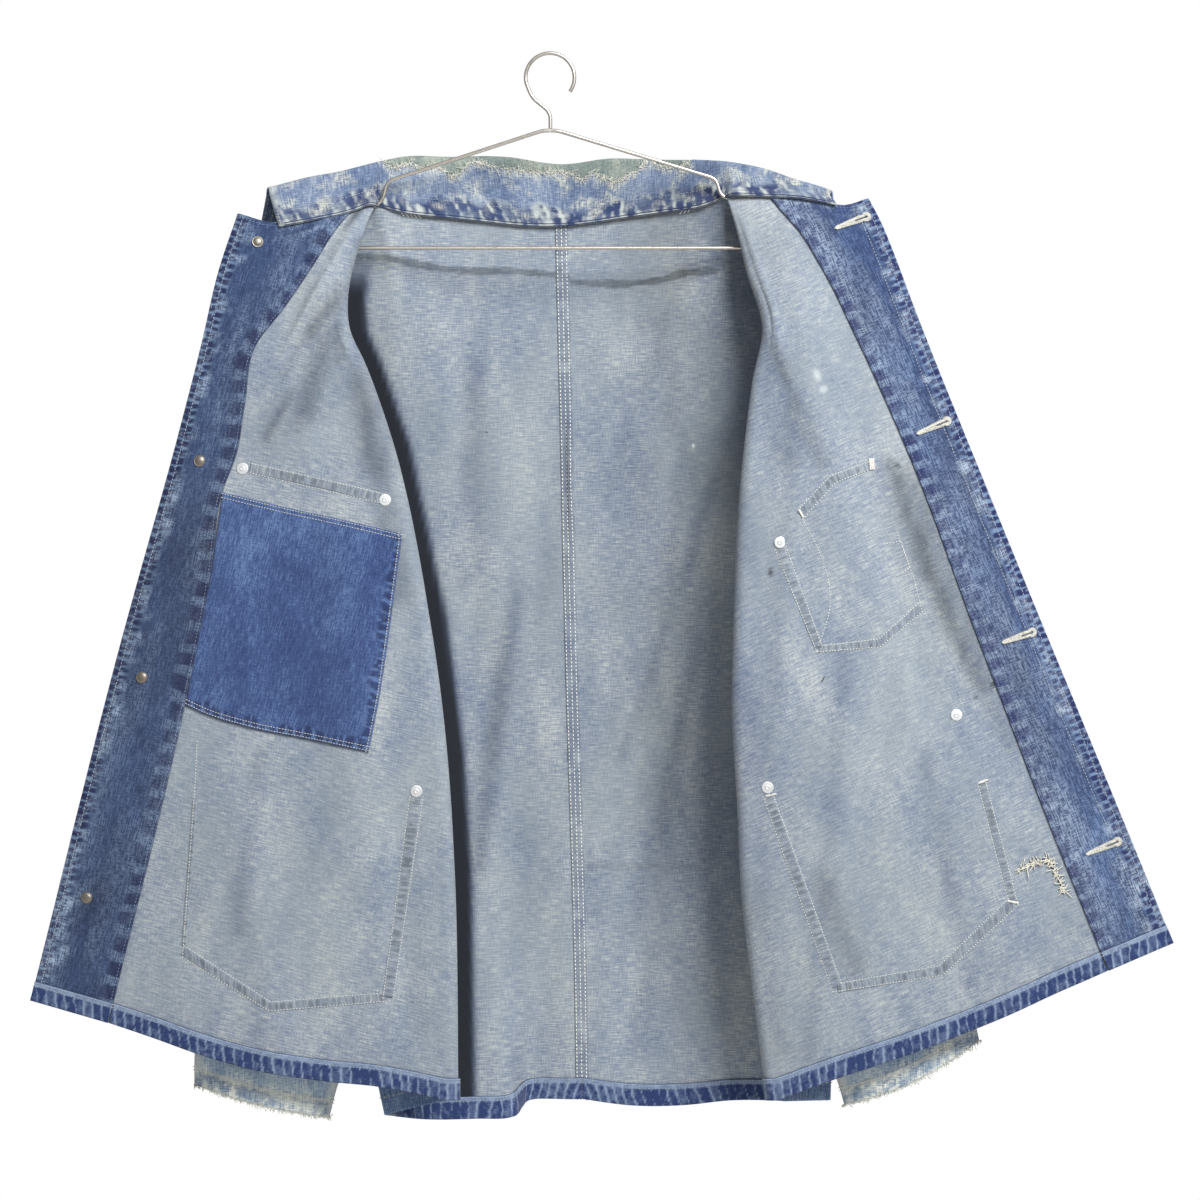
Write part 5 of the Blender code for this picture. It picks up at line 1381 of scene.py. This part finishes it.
# %% [markdown]
# ## Buttonholes, tacks and mends
# A worked buttonhole is a slit whose edge is wrapped in close, wide stitches, with a round eye where the button sits.
# The same sewing tree makes it: very short, wide grains packed along the slit's outline. Bartacks are the same
# grains in one short line.

# %% Buttonholes down the left front
BUTTONHOLES = [((229, -139), (256, -129)), ((294, -303), (320, -292)), ((362, -470), (388, -461)), ((429, -639), (456, -628))]


def keyhole(inner, eye, offset):
    """The outline of a slit with a round eye, as places seen from the front."""
    inner, eye = np.array(inner, float), np.array(eye, float)
    along = (eye - inner) / np.linalg.norm(eye - inner)
    across = np.array((-along[1], along[0]))
    turn = np.radians(np.linspace(200, 520, 17))
    round_eye = eye - along * 3 + (offset + 0.9) * (np.cos(turn)[:, None] * along + np.sin(turn)[:, None] * across) * (1, 1)
    start = inner + along * 1.0
    return np.concatenate([[start - across * offset * 0.4], [eye - along * (5 + offset) - across * offset],
                           round_eye, [eye - along * (5 + offset) + across * offset], [start + across * offset * 0.4],
                           [start - along * 1.5], [start - across * offset * 0.4]])


def on_cloth(side, places, lift):
    points, ways = on_door(side, dense(places, 0.6), lift)
    return points, ways * math.copysign(1, lift)


FACE = ON_PANEL + FACING_CLOTH
rims, backs_of, slits = [], [], []
for inner, eye in BUTTONHOLES:
    mouth = tuple(np.array(inner) * 0.42 + np.array(eye) * 0.58)
    tip = tuple(np.array(eye) - 3 * (np.array(eye) - inner) / np.linalg.norm(np.array(eye) - inner))
    for offset in (2.2, 1.0):
        rims.append(on_cloth("left", keyhole(inner, eye, offset), FACE + 0.5))
        backs_of.append(on_cloth("left", keyhole(inner, eye, offset), -HALF - 0.4))
    # The slit's dark opening is a dark thread laid along it: painted shade.
    slits.append(on_cloth("left", [mouth, tip], FACE + 1.0))
    slits.append(on_cloth("left", [mouth, tip], -HALF - 0.85))
run_tree("buttonhole_stitches", sewing, rims + backs_of, BUTTON_TWIST, Pitch=0.0008, Length=0.0009, Width=0.0026, Height=0.0011)
run_tree("buttonhole_slits", spinning, slits, SLIT_SHADE_THREAD, Radius=0.00065)

# %% Bartacks, neck tacks and the mended tear
run_tree("worn_bartack", sewing, [seen_line("left", px((869.5 + 1.7 * i, 459), (870.5 + 1.7 * i, 469)), 0.6, 1.0) for i in range(3)], BRIGHT_THREAD,
         Pitch=0.0007, Length=0.0008, Width=0.0022, Height=0.0012)
tacks = [px((799, 510), (803, 517)), px((766, 796), (776, 794)), px((1008, 901), (1018, 903)),
         px((979, 783), (987, 780))]
run_tree("bartacks", sewing, [seen_line("left" if line[0][0] > 0 else "right", line, 0.5, 1.0) for line in tacks], BRIGHT_THREAD,
         Pitch=0.0007, Length=0.0008, Width=0.0026, Height=0.0010)
ticks = [seen_line("back", px((399 + 4.2 * i, 210 + 0.7 * i), (404 + 4.2 * i, 216 + 0.5 * i)), 0.5, 1.0) for i in range(5)]
ticks += [seen_line("back", px((680 + 4 * i, 214 - i), (685 + 4 * i, 207 - i)), 0.5, 1.0) for i in range(3)]
ticks = [line for line in ticks if len(line[0]) > 1]
run_tree("neck_tacks", spinning, ticks, BRIGHT_THREAD, Radius=0.0006)
TEAR = [(374, -652), (384, -647), (398, -643), (402, -650), (407, -660), (411, -670)]
tear = on_cloth("left", TEAR, HALF + 0.2)
# The tear's open gap is a dark thread laid along it: painted shade.
run_tree("shade_in_tear", spinning, [tear], DARK_THREAD, Radius=0.0011)


def frays(line, out, count, long, seed, drop=(0, 0, -1), spread=0.6, lift=0.3):
    """Loose threads that start on a line, stray around one direction and curl."""
    random = np.random.default_rng(seed)
    made, steps = [], np.linspace(0, 1, 5)[:, None]
    for i in random.integers(0, len(line), count):
        way = np.array(drop) + random.normal(0, spread, 3) * (1, 0.3, 1)
        way -= out[i] * way.dot(out[i]) * 0.9
        bend = random.normal(0, 0.5, 3) * (1, 0.3, 1)
        size = random.uniform(0.3, 1) * long
        points = line[i] + out[i] * (lift + 0.4 * np.sin(3 * steps)) + (way / np.linalg.norm(way) * steps + bend * steps ** 2) * size
        made.append((points, np.tile(out[i], (5, 1))))
    return made


mends = frays(*tear, 70, 5, 201, drop=(0.2, 0, 0.6), spread=0.7, lift=0.9) + frays(*tear, 70, 5, 202, drop=(-0.2, 0, -0.7), spread=0.7, lift=0.9)
run_tree("tear_mends", spinning, mends, CREAM_THREAD, Radius=0.00036)

# %% [markdown]
# ## Frayed edges
# Cotton frays into single yarns where the cuffs and the collar's roll wore through. Each yarn is a thin curled tube
# that starts on the worn edge. A random generator with a fixed number places them, so they are the same each time.

# %% Frays on the cuffs and along the collar
cuffs = []
for number, side in enumerate(("right", "left")):
    for half, face in (("front", "high"), ("back", "low")):
        line, out = edge_line(f"sleeve_{half}_{side}", "bottom", 0.6, 0.1, face)
        line, out = (np.repeat(line, 4, 0) + np.repeat(np.diff(line, axis=0, append=line[-1:]), 4, 0) * np.tile(np.arange(4), len(line))[:, None] / 4,
                     np.repeat(out, 4, 0))
        cuffs += frays(line, out, 220, 2.4, 211 + number + (10 if half == "back" else 0), spread=0.8)
run_tree("cuff_frays", spinning, cuffs, FRAY, Radius=0.00028)

grid, away, high, low = layers["collar_stand"]
worn = np.nonzero(~outside)[0]
line, out = (grid + away * high[..., None])[worn, -1], away[worn, -1]
torn_threads = frays(line, out, 760, 3.4, 221, drop=(0, 0, -0.1), spread=1.0, lift=0.35)
torn_threads += frays(line, out, 120, 7, 222, drop=(0.9, 0, -0.1), spread=0.25, lift=0.4)
run_tree("collar_frays", spinning, torn_threads, FRAY, Radius=0.00019)
print(sum(len(piece.data.polygons) for piece in extras), "faces of thread")

# %% [markdown]
# ## Metal
# Tack buttons are stamped from brass and plated with nickel, rivets close on soft aluminium washers, and the hanger is
# drawn steel wire with a thin plating. All are plain metals, so their colour sits in the base colour, and dulled
# plating shows in a roughness that a noise varies. Round parts are turned: a profile goes once round its axis.

# %% Metal materials


def metal(name, code, worn_code, low, high, metallic=1.0, scale=900, dents=0.25):
    made, tree, shader = new_material(name)
    place = add(tree, "ShaderNodeTexCoord").outputs["Object"]
    cloudy = add(tree, "ShaderNodeTexNoise", {"Vector": place, "Scale": scale, "Detail": 3.0})
    tint = add(tree, "ShaderNodeMix", {"Factor": cloudy.outputs["Fac"], 6: linear(code), 7: linear(worn_code)}, data_type="RGBA")
    tree.links.new(tint.outputs[2], shader.inputs["Base Color"])
    dull = add(tree, "ShaderNodeMapRange", {"Value": cloudy.outputs["Fac"], "From Min": 0.3, "From Max": 0.7, "To Min": low, "To Max": high})
    tree.links.new(dull.outputs["Result"], shader.inputs["Roughness"])
    raised = add(tree, "ShaderNodeBump", {"Height": cloudy.outputs["Fac"], "Strength": dents, "Distance": 0.0001})
    tree.links.new(raised.outputs["Normal"], shader.inputs["Normal"])
    shader.inputs["Metallic"].default_value = metallic
    return made


NICKEL = metal("dulled nickel plate", "#958e86", "#6c6760", 0.42, 0.58)
ALUMINIUM = metal("oxidised aluminium", "#d3d5d6", "#b4b6b7", 0.42, 0.6, metallic=0.55)
STEEL = metal("plated steel wire", "#d6d0c7", "#b8b1a8", 0.26, 0.38, scale=300, dents=0.04)

# %% Buttons, tacks and rivets
ROUND = np.radians(np.arange(0, 360, 10))
PROFILES = {
    "nail": [(0, 1.6), (1.2, 1.55), (2.3, 1.35), (3.2, 0.95), (3.6, 0.6), (3.85, 0.55), (4.15, 0.8), (4.45, 0.7), (4.6, 0.35), (4.6, 0)],
    "washer": [(0, 0.55), (0.7, 0.6), (1.1, 1.1), (1.5, 1.05), (1.8, 0.7), (2.6, 0.62), (3.9, 0.72), (4.5, 0.6), (4.8, 0.3), (4.8, 0)],
    "cap": [(0, 1.1), (0.9, 1.05), (1.3, 0.85), (2.4, 0.9), (3.7, 0.75), (4.5, 0.45), (4.8, 0.15), (4.8, 0)],
    "button": [(0, 4.1), (1.8, 4.15), (4.2, 4.2), (5.4, 4.3), (5.9, 4.7), (6.5, 4.75), (6.9, 4.5), (7.3, 4.9), (7.9, 5.4), (8.35, 5.2),
               (8.5, 4.6), (8.2, 3.9), (6.0, 3.2), (3.4, 2.9), (3.0, 2.2), (3.0, 0.8), (3.8, 0.3), (3.9, 0)],
}
metals = {}


def turned(node, kind, side, place, lift, material, seed=0):
    """A turned piece that stands on a front's cloth at a seen place, at a signed distance from its middle."""
    (base,), (way,) = on_door(side, [place], lift)
    way = way * math.copysign(1, lift)
    across = np.cross(way, (0, 0, 1.0))
    across /= np.linalg.norm(across)
    up = np.cross(across, way)
    profile = PROFILES[kind]
    points = [base + way * profile[0][1]]
    for radius, height in profile[1:]:
        uneven = 1 + (0.035 * noise(ROUND * 1.6, 0.5 + 0 * ROUND, seed) if kind == "washer" else 0 * ROUND)
        ring = base + way * height + radius * uneven[:, None] * (np.cos(ROUND)[:, None] * across + np.sin(ROUND)[:, None] * up)
        points += list(ring)
    count, faces = len(ROUND), []
    for i in range(count):
        j = (i + 1) % count
        faces.append([0, 1 + i, 1 + j])
        for ring in range(len(profile) - 2):
            a = 1 + ring * count
            faces.append([a + i, a + count + i, a + count + j, a + j])
    last = 1 + (len(profile) - 2) * count
    faces.append([last + i for i in range(count)])
    piece = make_piece(f"{node}_turned", points, faces, [0] * len(faces), [material])
    solid = bmesh.new()
    solid.from_mesh(piece.data)
    bmesh.ops.recalc_face_normals(solid, faces=solid.faces)
    solid.to_mesh(piece.data)
    solid.free()
    metals[node] = piece


POCKET_FACE = -HALF - GAP - POCKET_CLOTH
for number, place in enumerate([(-234, -150), (-280, -325), (-326, -498), (-370, -674)], 1):
    turned(f"button_{number}", "button", "right", place, -HALF, NICKEL)
    turned(f"button_nail_{number}", "nail", "right", place, FACE, NICKEL)
for side, places in (("right", [(-246, -331), (-132, -356), (-107, -589)]), ("left", [(184, -390), (174, -586), (325, -528)])):
    for number, place in enumerate(places, 1):
        turned(f"rivet_washer_{side}_{number}", "washer", side, place, HALF + 0.05, ALUMINIUM, seed=number)
        turned(f"rivet_cap_{side}_{number}", "cap", side, place, POCKET_FACE, NICKEL)
print(len(metals), "turned pieces")

# %% Wires of the hanger
drawing, given = new_tree("bent wire", {"Radius": 0.0015})
path = add(drawing, "GeometryNodeMeshToCurve", {"Mesh": given["Geometry"]})
section = add(drawing, "GeometryNodeCurvePrimitiveCircle", {"Resolution": 16, "Radius": given["Radius"]})
tube = add(drawing, "GeometryNodeCurveToMesh", {"Curve": path.outputs["Curve"], "Profile Curve": section.outputs["Curve"], "Fill Caps": True})
close_tree(drawing, given, tube.outputs["Mesh"])


def bent(corners, bend=6.0):
    """Straight wire in the hanger's plane with each corner rounded."""
    corners = [np.array((x, 0.0, z)) for x, z in corners]
    path = [corners[0]]
    for before, corner, after in zip(corners, corners[1:], corners[2:]):
        ends = [corner + (other - corner) * min(bend / np.linalg.norm(other - corner), 0.45) for other in (before, after)]
        path += [(1 - u) ** 2 * ends[0] + 2 * u * (1 - u) * corner + u * u * ends[1] for u in np.linspace(0, 1, 10)]
    return path + [corners[-1]]


hook_turn = np.radians(np.linspace(-35, 195, 70))
hook = [np.array((19.5 * math.cos(a), 0, -18 + 19.5 * math.sin(a))) for a in hook_turn]
WIRES = {
    "hanger_hook": hook + bent([(hook[-1][0], hook[-1][2]), (-14.5, -34), (0.3, -46), (0.3, -58.7)])[1:],
    "hanger_arm_right": bent([(0.2, -60.5), (6, -60.5), (133, -99), (136.5, -112.8), (206, -135.8), (214, -154.4), (200, -154.4)]),
    "hanger_arm_left": bent([(-0.2, -60.5), (-6, -60.5), (-130, -101), (-134.5, -118.2), (-206, -141.6), (-214, -154.4), (-200, -154.4)]),
    "hanger_bar": bent([(-199.7, -154.4), (0, -154.4), (199.7, -154.4)]),
}
for node, points in WIRES.items():
    points = np.array(points)
    piece = run_tree(f"{node}_wire", drawing, [(points, np.tile((0, -1.0, 0), (len(points), 1)))], STEEL)
    extras.remove(piece)
    metals[node] = piece

# %% The floor's material
plaster, tree, shader = new_material("pale matt floor paint")
place = add(tree, "ShaderNodeTexCoord").outputs["Object"]
grainy = add(tree, "ShaderNodeTexNoise", {"Vector": place, "Scale": 40.0, "Detail": 4.0})
ramp = add(tree, "ShaderNodeValToRGB", {"Fac": grainy.outputs["Fac"]})
ramp.color_ramp.elements[0].color, ramp.color_ramp.elements[1].color = linear("#e2e2df"), linear("#f0f0ee")
tree.links.new(ramp.outputs["Color"], shader.inputs["Base Color"])
shader.inputs["Roughness"].default_value = 0.9
floor_data.materials.append(plaster)

# %% Give every piece its place in the frame
slots = {part["node"]: part["material_slot"] for part in frame["record"]["subparts"]}
for node, piece in garment.items():
    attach(piece, "root")
    if node in slots:
        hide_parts(node)
for piece in extras:
    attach(piece, "root")
for node, piece in metals.items():
    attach(piece, "root")
    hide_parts(node)
